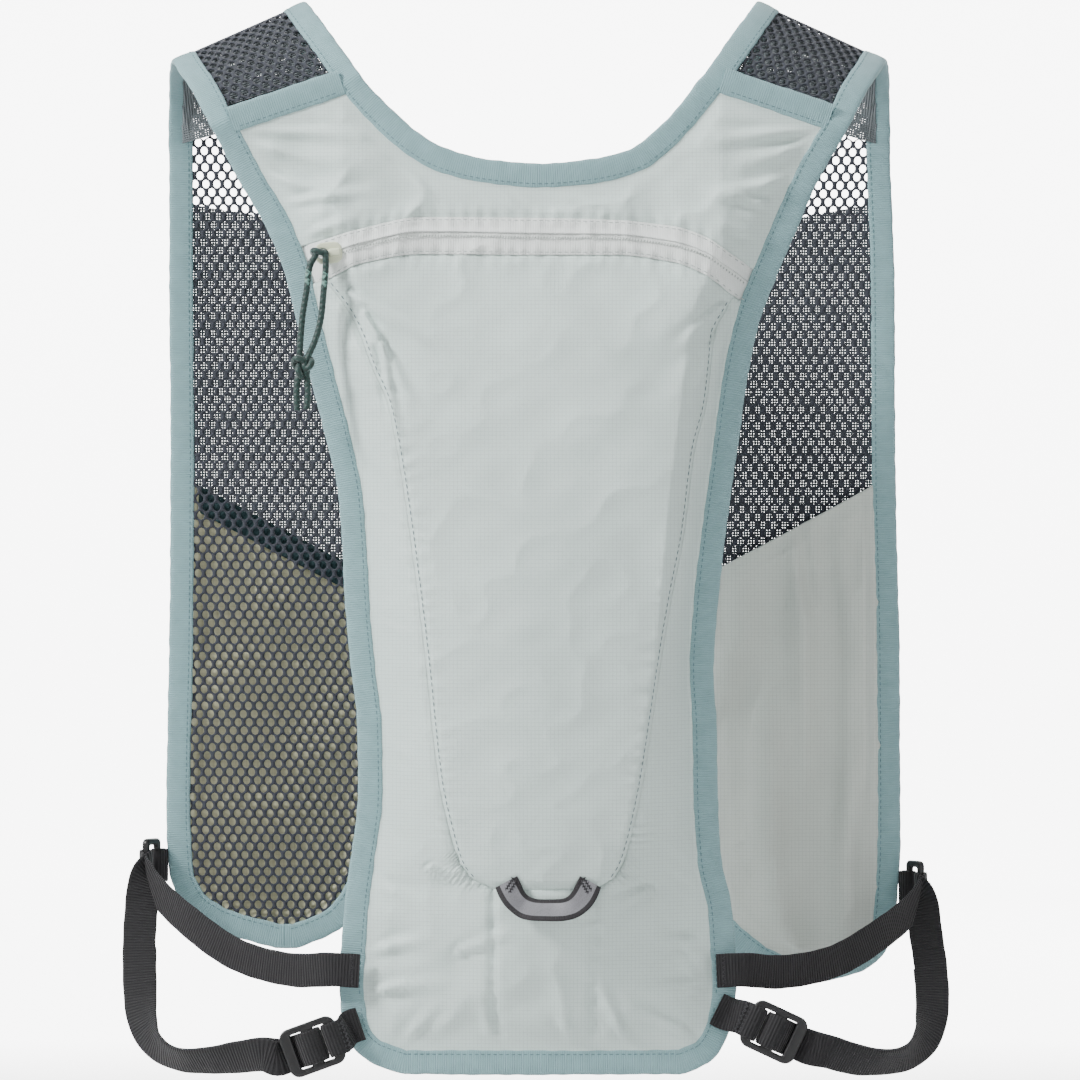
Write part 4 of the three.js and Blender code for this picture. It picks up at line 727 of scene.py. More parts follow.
def pouch_cloth(name, x, z, nodes):
    """One piece of the pouch from its grid of (x, z), hung on the puckered surface."""
    grid = np.stack([x, puckered(x, z) - POUCH_OUT, z], -1)
    points, faces, uv = sheet_of(grid, RIPSTOP_THICK)
    uv = np.tile(np.stack([x, z], -1).reshape(-1, 2), (2, 1))
    made = vest_piece(name, points, faces, ripstop_finish, nodes, uv)
    return made


x, z = across(lambda x: top_z(x, UNDER_TAPE), lambda x: zip_z(x, 1), 62, 190, left_end, right_end)
pouch_cloth("upper_back_cloth", x, z, ("upper_back",))
CENTRE_END = -BODY_HEIGHT * 0.8195
x, z = across(
    lambda x: zip_z(x, 3),
    lambda x: np.full_like(x, CENTRE_END),
    200,
    116,
    lambda z: seam_x(z, "left"),
    lambda z: seam_x(z, "right"),
)
pouch_cloth("centre_panel_cloth", x, z, ("centre_panel",))


def lower_lines():
    """Pairs of points round the lower back, from its top left down, along the hem and up to its top right:
    outer ones on the cloth's edge and inner ones on the seam of the centre panel."""
    turn_z = -0.75 * BODY_HEIGHT
    sides = {}
    for side in SIDES:
        t = np.linspace(0, 1, 120)
        seam_top = np.full(1, -0.11)
        for _ in range(12):
            seam_top = zip_z(seam_x(seam_top, side), 3)
        edge_top = np.full(1, -0.11)
        for _ in range(12):
            edge_top = zip_z(x_at(cloth_edge[side], edge_top), 3)
        late = t[1:] ** 0.85
        outer_z = np.concatenate([edge_top + (turn_z - edge_top) * t, turn_z + (HEM_Z - turn_z) * late])
        inner_z = np.concatenate([seam_top + (turn_z - seam_top) * t, turn_z + (CENTRE_END - turn_z) * late])
        outer = np.stack([x_at(cloth_edge[side], outer_z), outer_z], 1)
        inner = np.stack([seam_x(inner_z, side), inner_z], 1)
        sides[side] = np.stack([outer, inner], 1)
    t = np.linspace(0, 1, 62)[1:-1, None, None]
    low = sides["left"][-1] + (sides["right"][-1] - sides["left"][-1]) * t
    return np.concatenate([sides["left"], low, sides["right"][::-1]])


ends = lower_lines()
v = np.linspace(0, 1, 34)[None, :, None]
flat_grid = ends[:, :1] + (ends[:, 1:] - ends[:, :1]) * v
pouch_cloth("lower_back_cloth", flat_grid[..., 0], flat_grid[..., 1], ("lower_back",))

# Zip: two white woven tapes whose folded edges meet over a nylon coil. The tapes are sewn to the pouch at
# their outer edges, and the slit opens upwards a little, so the coil's stitches show below it.
TAPE_OUT = 0.0029
TAPE_THICK = 0.0007
COIL_PITCH = 0.0013


def bead(sides=6):
    """Points and faces of a closed bead, 1 long and 1 thick: rings at -0.36, 0 and 0.36, and two ends."""
    turn = np.linspace(0, 2 * math.pi, sides, endpoint=False)
    rings = []
    for a, r in ((-0.36, 0.34), (0, 0.5), (0.36, 0.34)):
        rings.append(np.stack([0 * turn + a, r * np.cos(turn), r * np.sin(turn)], 1))
    points = np.concatenate([*rings, [[-0.5, 0, 0], [0.5, 0, 0]]])
    first, last = 3 * sides, 3 * sides + 1
    faces = []
    for k in range(sides):
        after = (k + 1) % sides
        faces.append((k, after, sides + after, sides + k))
        faces.append((sides + k, sides + after, 2 * sides + after, 2 * sides + k))
        faces += [(first, after, k), (last, 2 * sides + k, 2 * sides + after)]
    return points, faces


def repeated(shape, places, along, out, sizes):
    """Copies of a small shape: corner c of copy i is at p + l c_x a + w c_y s + t c_z n, where a is the
    direction along, n the outward one made square to it and s = n x a."""
    points, faces = shape
    a = unit(along)
    n = unit(out - a * np.sum(out * a, 1, keepdims=True))
    s = np.cross(n, a)
    sizes = np.broadcast_to(sizes, (len(places), 3))
    scaled = points[None] * sizes[:, None]
    copies = places[:, None] + sum(scaled[..., k, None] * axis[:, None] for k, axis in enumerate((a, s, n)))
    starts = len(points) * np.arange(len(places))
    many = [tuple(start + k for k in face) for start in starts.tolist() for face in faces]
    return copies.reshape(-1, 3), many


def fabric(name, cloth, rough=0.8, sheen=0.2, pitch=0.0005, contrast=0.8, height=0.00008, ribs=None):
    """Woven cloth on the map: fine threads both ways with darker gaps between them, painted shade, and ribs
    of a wider pitch across it where they are given as pitch, depth of the painted shade in their grooves and
    height."""
    made, shader, node = material_of(name)
    place = node("TexCoord").outputs["UV"]
    weave = node(
        "TexBrick",
        {
            "Vector": place,
            "Scale": 1.0,
            "Mortar Size": pitch * 0.16,
            "Mortar Smooth": 1.0,
            "Brick Width": pitch * 2,
            "Row Height": pitch,
        },
    ).outputs["Fac"]
    mottle = node("TexNoise", {"Vector": place, "Scale": 160.0, "Detail": 3.0}).outputs["Fac"]
    mottled = {"Value": mottle, "From Min": 0.3, "From Max": 0.7, "To Min": 0.9, "To Max": 1.07}
    tone = node("MapRange", mottled)
    base = node(
        "Mix",
        {"Factor": 1.0, "A": (*cloth, 1), "B": tone.outputs[0]},
        data_type="RGBA",
        blend_type="MULTIPLY",
    ).outputs["Result"]
    # Painted shade: the sunken gaps between the threads, and the grooves of the ribs, take this darker
    # colour.
    dark = (*[c * (1 - contrast * 0.6) for c in cloth], 1)
    base = node("Mix", {"Factor": weave, "A": base, "B": dark}, data_type="RGBA").outputs["Result"]
    normal = node("Bump", {"Height": weave, "Strength": 0.6, "Distance": height}, invert=True).outputs[0]
    if ribs:
        rib_pitch, depth, rib_height = ribs
        ribbed = node("TexWave", {"Vector": place, "Scale": math.pi / (10 * rib_pitch)}, bands_direction="X")
        wave = ribbed.outputs["Fac"]
        amount = node("Math", {0: wave, 1: depth}, operation="MULTIPLY").outputs[0]
        base = node("Mix", {"Factor": amount, "A": base, "B": dark}, data_type="RGBA").outputs["Result"]
        normal = node(
            "Bump", {"Height": wave, "Strength": 0.8, "Distance": rib_height, "Normal": normal}, invert=True
        ).outputs[0]
    return dress(
        made,
        shader,
        Base_Color=base,
        Roughness=rough,
        Sheen_Weight=sheen,
        Specular_IOR_Level=0.35,
        Normal=normal,
    )


zip_finish = fabric("zip_tape", shade(238, 243, 240), contrast=0.3, ribs=(0.0011, 0.25, 0.00012))
coil_finish = fabric("zip_coil", shade(176, 186, 180), rough=0.45, contrast=0.2)
# The centre panel's thread is blue grey and darker than the cloth, partly painted shade of the needle holes.
seam_thread_with_hole_shade = fabric("blue_thread_with_hole_shade", shade(112, 136, 142), rough=0.6, pitch=0.0002, contrast=0.5)
thread_finish = fabric("pale_thread", shade(200, 210, 208), rough=0.6, pitch=0.0002, contrast=0.5)


def on_pouch(x, z, out):
    """The point at (x, z) that stands so far out from the puckered pouch."""
    return np.stack([x, puckered(x, z) - out, z], -1)


def row_of(start, stop, pitch):
    """Evenly spaced values from start to stop, near the pitch."""
    return np.linspace(start, stop, max(2, int(round(abs(stop - start) / pitch)) + 1))


def settled(x, z):
    """0 where a cloth is held down under the bindings at its sides, and 1 from 13 mm inside them."""
    way = np.clip((np.minimum(x - left_end(z), right_end(z) - x) - 0.0055) / 0.0075, 0, 1)
    return way * way * (3 - 2 * way)


for name, upper, lower, fold in (("upper", 1, 2, 1), ("lower", 2, 3, 0)):
    gap = 0.0002 if upper == 2 else 0.0
    x, z = across(lambda x: zip_z(x, upper) - gap, lambda x: zip_z(x, lower), 18, 300, left_end, right_end)
    v = np.linspace(0, 1, 18)[:, None]
    lip = np.exp(-(((v - fold) / 0.24) ** 2)) * (0.0011 if fold else 0.0004)
    rise = settled(x, z)
    stand = 0.0014 + (TAPE_OUT - 0.0014 + lip + 0.00012 * np.sin(x / 0.0016)) * rise
    grid = on_pouch(x, z, stand)
    points, faces, _ = sheet_of(grid, TAPE_THICK)
    uv = np.tile(np.stack([x, z - zip_z(x, 2)], -1).reshape(-1, 2), (2, 1))
    shown = (f"zip_tape_{name}",)
    tape = vest_piece(f"zip_tape_{name}_cloth", points, faces, zip_finish, shown, uv)
    flat, area = cut_of(grid)

ends = [float(x_at(cloth_edge[name], -0.1)) for name in SIDES]
x = row_of(ends[0] + 0.014, ends[1] - 0.012, COIL_PITCH)
z = zip_z(x, 2) - 0.0019
places = on_pouch(x, z, TAPE_OUT + 0.0008)
along = np.tile([0.25, 0.0, 1.0], (len(x), 1))
front = np.tile([0.0, -1.0, 0.0], (len(x), 1))
points, faces = repeated(bead(), places, along, front, (0.0011, 0.0006, 0.0007))
vest_piece("zip_coil", points, faces, coil_finish)


def seam_stitches(name, x, z, out, finish, long=0.0022, thick=0.00042):
    """Stitches along a line on the pouch, half sunk in the cloth, each turned along the line."""
    places = on_pouch(x, z, out)
    along = np.gradient(places, axis=0)
    facing = np.tile([0.0, -1.0, 0.0], (len(x), 1))
    points, faces = repeated(bead(), places, along, facing, (long, thick, thick * 0.7))
    return vest_piece(name, points, faces, finish)


for column, drop, word in ((1, 0.0012, "above"), (3, -0.0012, "below")):
    x = row_of(ends[0] + 0.0125, ends[1] - 0.0125, 0.0028)
    z = zip_z(x, column) - drop
    seam_stitches(f"zip_stitches_{word}", x, z, TAPE_OUT + 0.0008, thread_finish)

# Stitch line round the centre panel, just inside its seam, in a blue grey thread darker than the cloth:
# partly the thread, partly painted shade of its needle holes
for name, sign in SIDES.items():
    z = row_of(-0.235 * BODY_HEIGHT, -0.806 * BODY_HEIGHT, 0.0029)
    x = seam_x(z, name) - sign * 0.0016
    kept = z < zip_z(x, 3) - 0.003
    seam_stitches(f"{name}_panel_stitches", x[kept], z[kept], POUCH_OUT + 0.00055, seam_thread_with_hole_shade)

# Slider: a pale moulded plate on the coil with a round eye at its left end for the cord, 12 x 10 mm. Its
# edges are rounded and a low bridge runs along it.
SLIDER_AT = (-0.09114, -0.05385, -0.09775)


def plate_of(outline, holes, thick, edge):
    """A plate from closed outlines (x, y) in metres, its edges rounded: Blender fills the flat curves, gives
    them depth and rounds them. The points come back with the plate's own x, y and z."""
    curve = bpy.data.curves.new("plate", "CURVE")
    curve.dimensions = "2D"
    curve.fill_mode = "BOTH"
    curve.extrude = thick / 2 - edge
    curve.bevel_depth = edge
    curve.bevel_resolution = 3
    curve.offset = -edge
    for line in (outline, *holes):
        spline = curve.splines.new("POLY")
        spline.points.add(len(line) - 1)
        corners = np.column_stack([line, np.zeros(len(line)), np.ones(len(line))])
        spline.points.foreach_set("co", corners.ravel())
        spline.use_cyclic_u = True
    drawn = bpy.data.objects.new("plate", curve)
    bpy.context.scene.collection.objects.link(drawn)
    mesh = bpy.data.meshes.new_from_object(drawn.evaluated_get(bpy.context.evaluated_depsgraph_get()))
    work = bmesh.new()
    work.from_mesh(mesh)
    bmesh.ops.remove_doubles(work, verts=work.verts, dist=1e-6)
    points = np.array([tuple(v.co) for v in work.verts])
    faces = [[v.index for v in face.verts] for face in work.faces]
    work.free()
    bpy.data.objects.remove(drawn)
    bpy.data.meshes.remove(mesh)
    bpy.data.curves.remove(curve)
    return points, faces


def rounded(wide, high, corner, at=(0, 0), turn=1):
    """A rectangle's outline with round corners of six points each."""
    arc = np.linspace(0, math.pi / 2, 6)
    parts = []
    for k, (sx, sy) in enumerate(((1, 1), (-1, 1), (-1, -1), (1, -1))):
        middle = [sx * (wide / 2 - corner), sy * (high / 2 - corner)]
        angle = arc + k * math.pi / 2
        parts.append(np.stack([np.cos(angle), np.sin(angle)], 1) * corner + middle)
    return np.concatenate(parts)[::turn] + at


def set_on(points, at, x_axis, y_axis):
    """A plate's points in the vest: its x and y along two directions and its z along x cross y."""
    x_axis, y_axis = unit(np.array(x_axis, float)), unit(np.array(y_axis, float))
    return np.asarray(at) + points @ np.stack([x_axis, y_axis, np.cross(x_axis, y_axis)])


def moulded(name, colour, rough, coat):
    """Moulded plastic: one colour with a faint unevenness in its gloss and its surface."""
    made, shader, node = material_of(name)
    place = node("TexCoord").outputs["Object"]
    grain = node("TexNoise", {"Vector": place, "Scale": 420.0, "Detail": 4.0}).outputs["Fac"]
    gloss = node("MapRange", {"Value": grain, "To Min": rough - 0.08, "To Max": rough + 0.08}).outputs[0]
    bump = node("Bump", {"Height": grain, "Strength": 0.25, "Distance": 0.00006}).outputs[0]
    return dress(made, shader, Base_Color=colour, Roughness=gloss, Coat_Weight=coat, Normal=bump)


pale_plastic = moulded("pale_plastic", shade(218, 224, 196), 0.36, 0.15)
turn = np.linspace(0, 2 * math.pi, 24, endpoint=False)
eye_hole = 0.0021 * np.stack([np.cos(turn), np.sin(turn)], 1) + (-0.003, 0)
plate = plate_of(rounded(0.012, 0.0095, 0.0035), [eye_hole], 0.0022, 0.0007)
bridge = plate_of(rounded(0.0058, 0.0034, 0.0015, (0.0027, 0)), [], 0.0024, 0.0009)
bridge = (bridge[0] + [0, 0, 0.0014], bridge[1])
points, faces = joined(plate, bridge)
points = set_on(points, SLIDER_AT, (1, 0, 0.12), (-0.12, 0, 1))
vest_piece("slider", points, faces, pale_plastic, ("zip_slider",), sharp=40)

# Front panels and yokes: dark knitted mesh with rounded holes in staggered rows, 5.0 x 3.8 mm apart. Each
# hole has a rim of yarn, thicker away from the hole. The panels hang from the yokes over the shoulders.
CELL_WIDE = 0.005
CELL_HIGH = 0.0038
HOLE = (0.00158, 0.00198)  # half the width and height of a hole
YARN = (0.00055, 0.00022)  # half the thickness between the holes and at their rims
# Forwards as a share of the depth, then across and up at the outer edge and at the inner one
SHOULDER = np.array([
    (-1, 0.857, -0.244, 0.46, -0.11),
    (-0.76, 0.909, -0.145, 0.523, -0.02), (-0.42, 0.948, -0.09, 0.579, 0.059),
    (0, 0.974, -0.053, 0.614, 0.106), (0.42, 0.988, -0.08, 0.616, 0.075), (0.76, 0.995, -0.155, 0.6, -0.012),
    (0.95, 1.0, -0.26, 0.566, -0.14),
])
SHOULDER_SCALE = {"left": 1, "right": 0.968}
YOKE_FROM = 0.36
FRONT_HEIGHT = {"left": 0.411, "right": 0.427}
# Down, and out at the outer edge and at the inner one
FRONT_EDGE = {
    "left": np.array([
        (0.106, 1.0, 0.566), (0.25, 1.0, 0.45), (0.45, 0.997, 0.4), (0.65, 1.0, 0.39), (0.84, 1.008, 0.41),
        (0.915, 1.0, 0.434), (0.956, 0.958, 0.478), (0.983, 0.865, 0.54), (1.0, 0.72, 0.64),
    ]),
    "right": np.array([
        (0.102, 0.968, 0.548), (0.25, 0.982, 0.45), (0.45, 0.985, 0.4),
        (0.65, 0.996, 0.39), (0.84, 0.998, 0.405),
        (0.93, 0.985, 0.455), (0.965, 0.962, 0.535), (0.988, 0.9, 0.62), (1.0, 0.79, 0.7),
    ]),
}


def front_y(name, z):
    """Depth of a front panel: D (0.95 + 0.05 sin(pi z / height)), so that its middle bows forwards."""
    return FRONT_DEPTH * (0.95 + 0.05 * np.sin(math.pi * np.clip(-z / FRONT_HEIGHT[name], 0, 1)))


def inside_line(points, outline):
    """Which points lie inside a closed outline, by the crossings of a level ray."""
    x, z = points[:, 0][:, None], points[:, 1][:, None]
    a, b = outline[None], np.roll(outline, -1, axis=0)[None]
    spans = (a[..., 1] > z) != (b[..., 1] > z)
    at = a[..., 0] + (z - a[..., 1]) * (b[..., 0] - a[..., 0]) / np.where(spans, b[..., 1] - a[..., 1], 1)
    return (spans & (x < at)).sum(1) % 2 == 1


def skin_area(points, faces):
    """Area of a surface, half the length of each face's cross product of diagonals, summed."""
    p = np.asarray(points)[np.array([[*face, face[-1]][:4] for face in faces if len(face) < 5])]
    return float(np.linalg.norm(np.cross(p[:, 2] - p[:, 0], p[:, 3] - p[:, 1]), axis=1).sum() / 2)


def holed_mesh(outline, skew, hang):
    """Mesh with holes inside an outline (a, b) in metres of cloth: each cell is a ring of twelve quads from
    a six sided border, shared with its neighbours, to a rounded hole. Both sides and the holes' walls are
    made, and the border is closed where no neighbour shares it. hang(a, b, out) puts it in the vest."""
    low, high = outline.min(0), outline.max(0)
    columns = np.arange(-4, int((high[0] - low[0]) / CELL_WIDE) + 5)
    column, row = np.meshgrid(columns, np.arange(int((high[1] - low[1]) / CELL_HIGH) + 2))
    middle = np.stack([(column + 0.5 * (row % 2)) * CELL_WIDE, row * CELL_HIGH], -1).reshape(-1, 2) + low
    middle[:, 0] += skew * (middle[:, 1] - high[1])
    middle = middle[inside_line(middle, outline)]
    half, step, tip = CELL_WIDE / 2, CELL_HIGH / 2, 0.0008
    corners = np.array([
        (half, -step + tip), (half, step - tip), (0, step + tip),
        (-half, step - tip), (-half, -step + tip), (0, -step - tip),
    ])
    border = np.stack([corners, (corners + np.roll(corners, -1, axis=0)) / 2], 1).reshape(-1, 2)
    angle = np.arctan2(border[:, 1] / HOLE[1], border[:, 0] / HOLE[0])
    rim = np.stack([HOLE[0] * np.cos(angle), HOLE[1] * np.sin(angle)], 1)
    ring = np.concatenate([border, rim])
    ring[:, 0] += skew * ring[:, 1]
    place = (middle[:, None] + ring).reshape(-1, 2)
    on_rim = np.tile(np.repeat([False, True], 12), len(middle))
    keys = np.round(place * 2e5).astype(np.int64)
    _, first, number = np.unique(keys, axis=0, return_index=True, return_inverse=True)
    number = number.reshape(len(middle), 2, 12)
    place, on_rim = place[first], on_rim[first]
    thick = np.where(on_rim, YARN[1], YARN[0])
    total = len(place)
    points = np.concatenate([hang(place[:, 0], place[:, 1], thick), hang(place[:, 0], place[:, 1], -thick)])
    outer, inner = number[:, 0], number[:, 1]
    outer_next, inner_next = np.roll(outer, -1, axis=1), np.roll(inner, -1, axis=1)
    front = np.stack([outer, outer_next, inner_next, inner], -1).reshape(-1, 4)
    back = front[:, ::-1] + total
    wall = np.stack([inner, inner_next, inner_next + total, inner + total], -1).reshape(-1, 4)
    edges = np.stack([outer, outer_next], -1).reshape(-1, 2)
    _, where, count = np.unique(np.sort(edges, axis=1), axis=0, return_index=True, return_counts=True)
    lone = edges[where[count == 1]]
    rand = np.stack([lone[:, 1], lone[:, 0], lone[:, 0] + total, lone[:, 1] + total], -1)
    faces = np.concatenate([front, back, wall, rand]).tolist()
    return points, faces, np.tile(place, (2, 1))


def knitted(name, yarn, pale):
    """Knitted yarn on the map: short slanting loops 0.5 mm apart, darker between as painted shade, with a
    soft sheen.
    """
    made, shader, node = material_of(name)
    place = node("TexCoord").outputs["UV"]
    waves = []
    for angle in (0.9, -0.9):
        turned = node("Mapping", {"Vector": place, "Rotation": (0, 0, angle)})
        waves.append(node("TexWave", {"Vector": turned.outputs[0], "Scale": 620.0}).outputs["Fac"])
    loops = node("Math", {0: waves[0], 1: waves[1]}, operation="MAXIMUM").outputs[0]
    cloud = node("TexNoise", {"Vector": place, "Scale": 300.0, "Detail": 3.0}).outputs["Fac"]
    amount = node("Math", {0: loops, 1: cloud}, operation="MULTIPLY").outputs[0]
    # Painted shade: the yarn is darker between the raised loops.
    base = node("Mix", {"Factor": amount, "A": (*yarn, 1), "B": (*pale, 1)}, data_type="RGBA")
    bump = node("Bump", {"Height": loops, "Strength": 0.7, "Distance": 0.00012}).outputs[0]
    return dress(
        made, shader, Base_Color=base.outputs["Result"], Roughness=0.8, Sheen_Weight=0.25, Normal=bump
    )


mesh_finish = knitted("hole_mesh", shade(20, 23, 31), shade(62, 68, 82))

front_edge = {}
for name, sign in SIDES.items():
    outer = edge_of(FRONT_EDGE[name], 1, FRONT_HEIGHT[name], HALF_SPAN, sign)
    inner = edge_of(FRONT_EDGE[name], 2, FRONT_HEIGHT[name], HALF_SPAN, sign)
    front_edge[name] = (outer, inner)


def panel_outline(name, inset, top_outer, top_inner):
    """Closed outline of a layer of a front panel: both edges moved in, below its slanting top."""
    sign = SIDES[name]
    outer = set_in(front_edge[name][0], inset, sign)
    inner = set_in(front_edge[name][1], inset, -sign)
    low = -FRONT_HEIGHT[name] + inset
    outer, inner = outer[outer[:, 1] > low], inner[inner[:, 1] > low]
    outer, inner = outer[outer[:, 1] < top_outer], inner[inner[:, 1] < top_inner]
    start = [[x_at(front_edge[name][0], top_outer) - sign * inset, top_outer]]
    end = [[x_at(front_edge[name][1], top_inner) + sign * inset, top_inner]]
    return np.concatenate([start, outer, inner[::-1], end])


shoulder_lines = {}
for name, sign in SIDES.items():
    scale = sign * HALF_SPAN * SHOULDER_SCALE[name]
    y = SHOULDER[:, 0] * np.where(SHOULDER[:, 0] < 0, STRIP_DEPTH, FRONT_DEPTH)
    outer = np.stack([scale * SHOULDER[:, 1], y, HALF_SPAN * SHOULDER[:, 2]], 1)
    inner = np.stack([scale * SHOULDER[:, 3], y, HALF_SPAN * SHOULDER[:, 4]], 1)
    shoulder_lines[name] = (curve_through(outer, 241), curve_through(inner, 241))

yoke_maps = {}
for name, sign in SIDES.items():
    outer, inner = shoulder_lines[name]
    tops = [outer[-1, 2] + 0.001, inner[-1, 2] + 0.001]
    outline = panel_outline(name, UNDER_TAPE + 0.0008, *tops)

    def hung_panel(x, z, out):
        """The panel's cloth at its own depth, with a slight waviness, moved out along Y."""
        wave = 0.0006 * ripple(x, z, 0.06, 31 if sign < 0 else 32)
        return np.stack([x, front_y(name, z) + wave - out, z], 1)

    points, faces, uv = holed_mesh(outline, 0.05 * sign, hung_panel)
    panel = vest_piece(
        f"{name}_front_mesh", points, faces, mesh_finish, (f"{name}_front_panel",), uv
    )

    # The yoke's map: metres along the shoulder from the cross strip, and metres out from its middle line
    start = int(YOKE_FROM / 6 * 240)
    middle = (outer + inner)[start:] / 2
    across_way = unit(inner - outer)[start:]
    wide = np.linalg.norm(inner - outer, axis=1)[start:] / 2 - UNDER_TAPE - 0.0008
    run = np.concatenate([[0], np.cumsum(np.linalg.norm(np.diff(middle, axis=0), axis=1))])
    along_way = unit(np.gradient(middle, axis=0))
    up_way = unit(np.cross(across_way, along_way)) * -sign
    outline = np.concatenate([np.stack([wide, run], 1), np.stack([-wide, run], 1)[::-1]])

    def on_yoke(a, b, out, run=run, lines=(middle, across_way, up_way)):
        """The point a metres off the middle line, b metres along it and so far out of the cloth."""
        at, side, up = [np.stack([np.interp(b, run, line[:, k]) for k in range(3)], 1) for line in lines]
        return at + a[:, None] * side + out[:, None] * up

    yoke_maps[name] = (outline, on_yoke)
    points, faces, uv = holed_mesh(outline, 0.0, on_yoke)
    yoke = vest_piece(f"{name}_yoke_mesh", points, faces, mesh_finish, (f"{name}_yoke",), uv)
    flat = (round(2 * float(wide.max()), 3), round(float(run[-1]), 3))

# Net layers: a pale net of fine threads 1.2 mm apart, painted a darker grey as painted shade for the shadow
# it hangs in. One hangs behind each front mesh from the chest down, and one lines the mesh of each yoke.
NET_PITCH = 0.0012
NET_THREAD = 0.00045
NET_TOP = (0.17, 0.2)
NET_CUT_AREA = 0.0326
# Painted shade: the pale net's threads are given a darker grey for the shadow they hang in.
shaded_net_finish = fabric("pale_net_painted_shade", shade(112, 120, 124), rough=0.7, pitch=0.0002, contrast=0.3)


def netted(outline, hang):
    """Threads both ways inside an outline (a, b), cut where they cross it. hang(a, b) puts a thread in the
    vest, and each one is a flat thread with pointed sides."""
    low, high = outline.min(0), outline.max(0)
    start, stop = outline, np.roll(outline, -1, axis=0)
    section = NET_THREAD * np.array([(0.28, 0), (0, 1), (-0.28, 0), (0, -1)])
    threads = []
    for axis in (0, 1):
        for at in np.arange(low[1 - axis], high[1 - axis], NET_PITCH):
            spans = (start[:, 1 - axis] > at) != (stop[:, 1 - axis] > at)
            a, b = start[spans], stop[spans]
            cuts = a[:, axis] + (at - a[:, 1 - axis]) / (b - a)[:, 1 - axis] * (b - a)[:, axis]
            for one, other in zip(np.sort(cuts)[::2], np.sort(cuts)[1::2]):
                if other - one > 0.003:
                    line = np.linspace(one, other, max(3, int((other - one) / 0.011)))
                    fixed = np.full(len(line), at)
                    path = hang(line, fixed) if axis == 0 else hang(fixed, line)
                    off = hang(line, fixed + 0.0001) if axis == 0 else hang(fixed + 0.0001, line)
                    threads.append(swept(path, unit(off - path), np.tile(section, (len(path), 1, 1))))
    return joined(*threads)


for name in SIDES:
    tops = [-FRONT_HEIGHT["left"] * share for share in NET_TOP]

    def behind_mesh(x, z):
        """A point on the net, 4.6 mm behind the mesh, with its own waviness."""
        return np.stack([x, front_y(name, z) + 0.0046 + 0.0006 * ripple(x, z, 0.05, 33), z], 1)

    points, faces = netted(panel_outline(name, 0.008, *tops), behind_mesh)
    net = vest_piece(
        f"{name}_net", points, faces, shaded_net_finish, (f"{name}_net_layer",), points[:, [0, 2]]
    )
    area = min(skin_area(points, faces) / 2, NET_CUT_AREA)

    outline, hang_on = yoke_maps[name]
    points, faces = netted(outline, lambda a, b: hang_on(a, b, np.full(len(a), -0.0017)))
    lining = vest_piece(f"{name}_yoke_net", points, faces, shaded_net_finish, (), points[:, [0, 1]])
    flat = (round(float(np.ptp(outline[:, 0])), 3), round(float(np.ptp(outline[:, 1])), 3))
    area = min(skin_area(points, faces) / 2, 0.99 * flat[0] * flat[1])

# Front pockets: ripstop patches with a hemmed top that slants down to the middle. The left one lies behind
# the mesh, in an olive beige that is painted shade for the shadow there, and the right one on its near side,
# gathered and lightly creased.
POCKET_TOP = (0.48, 0.592)
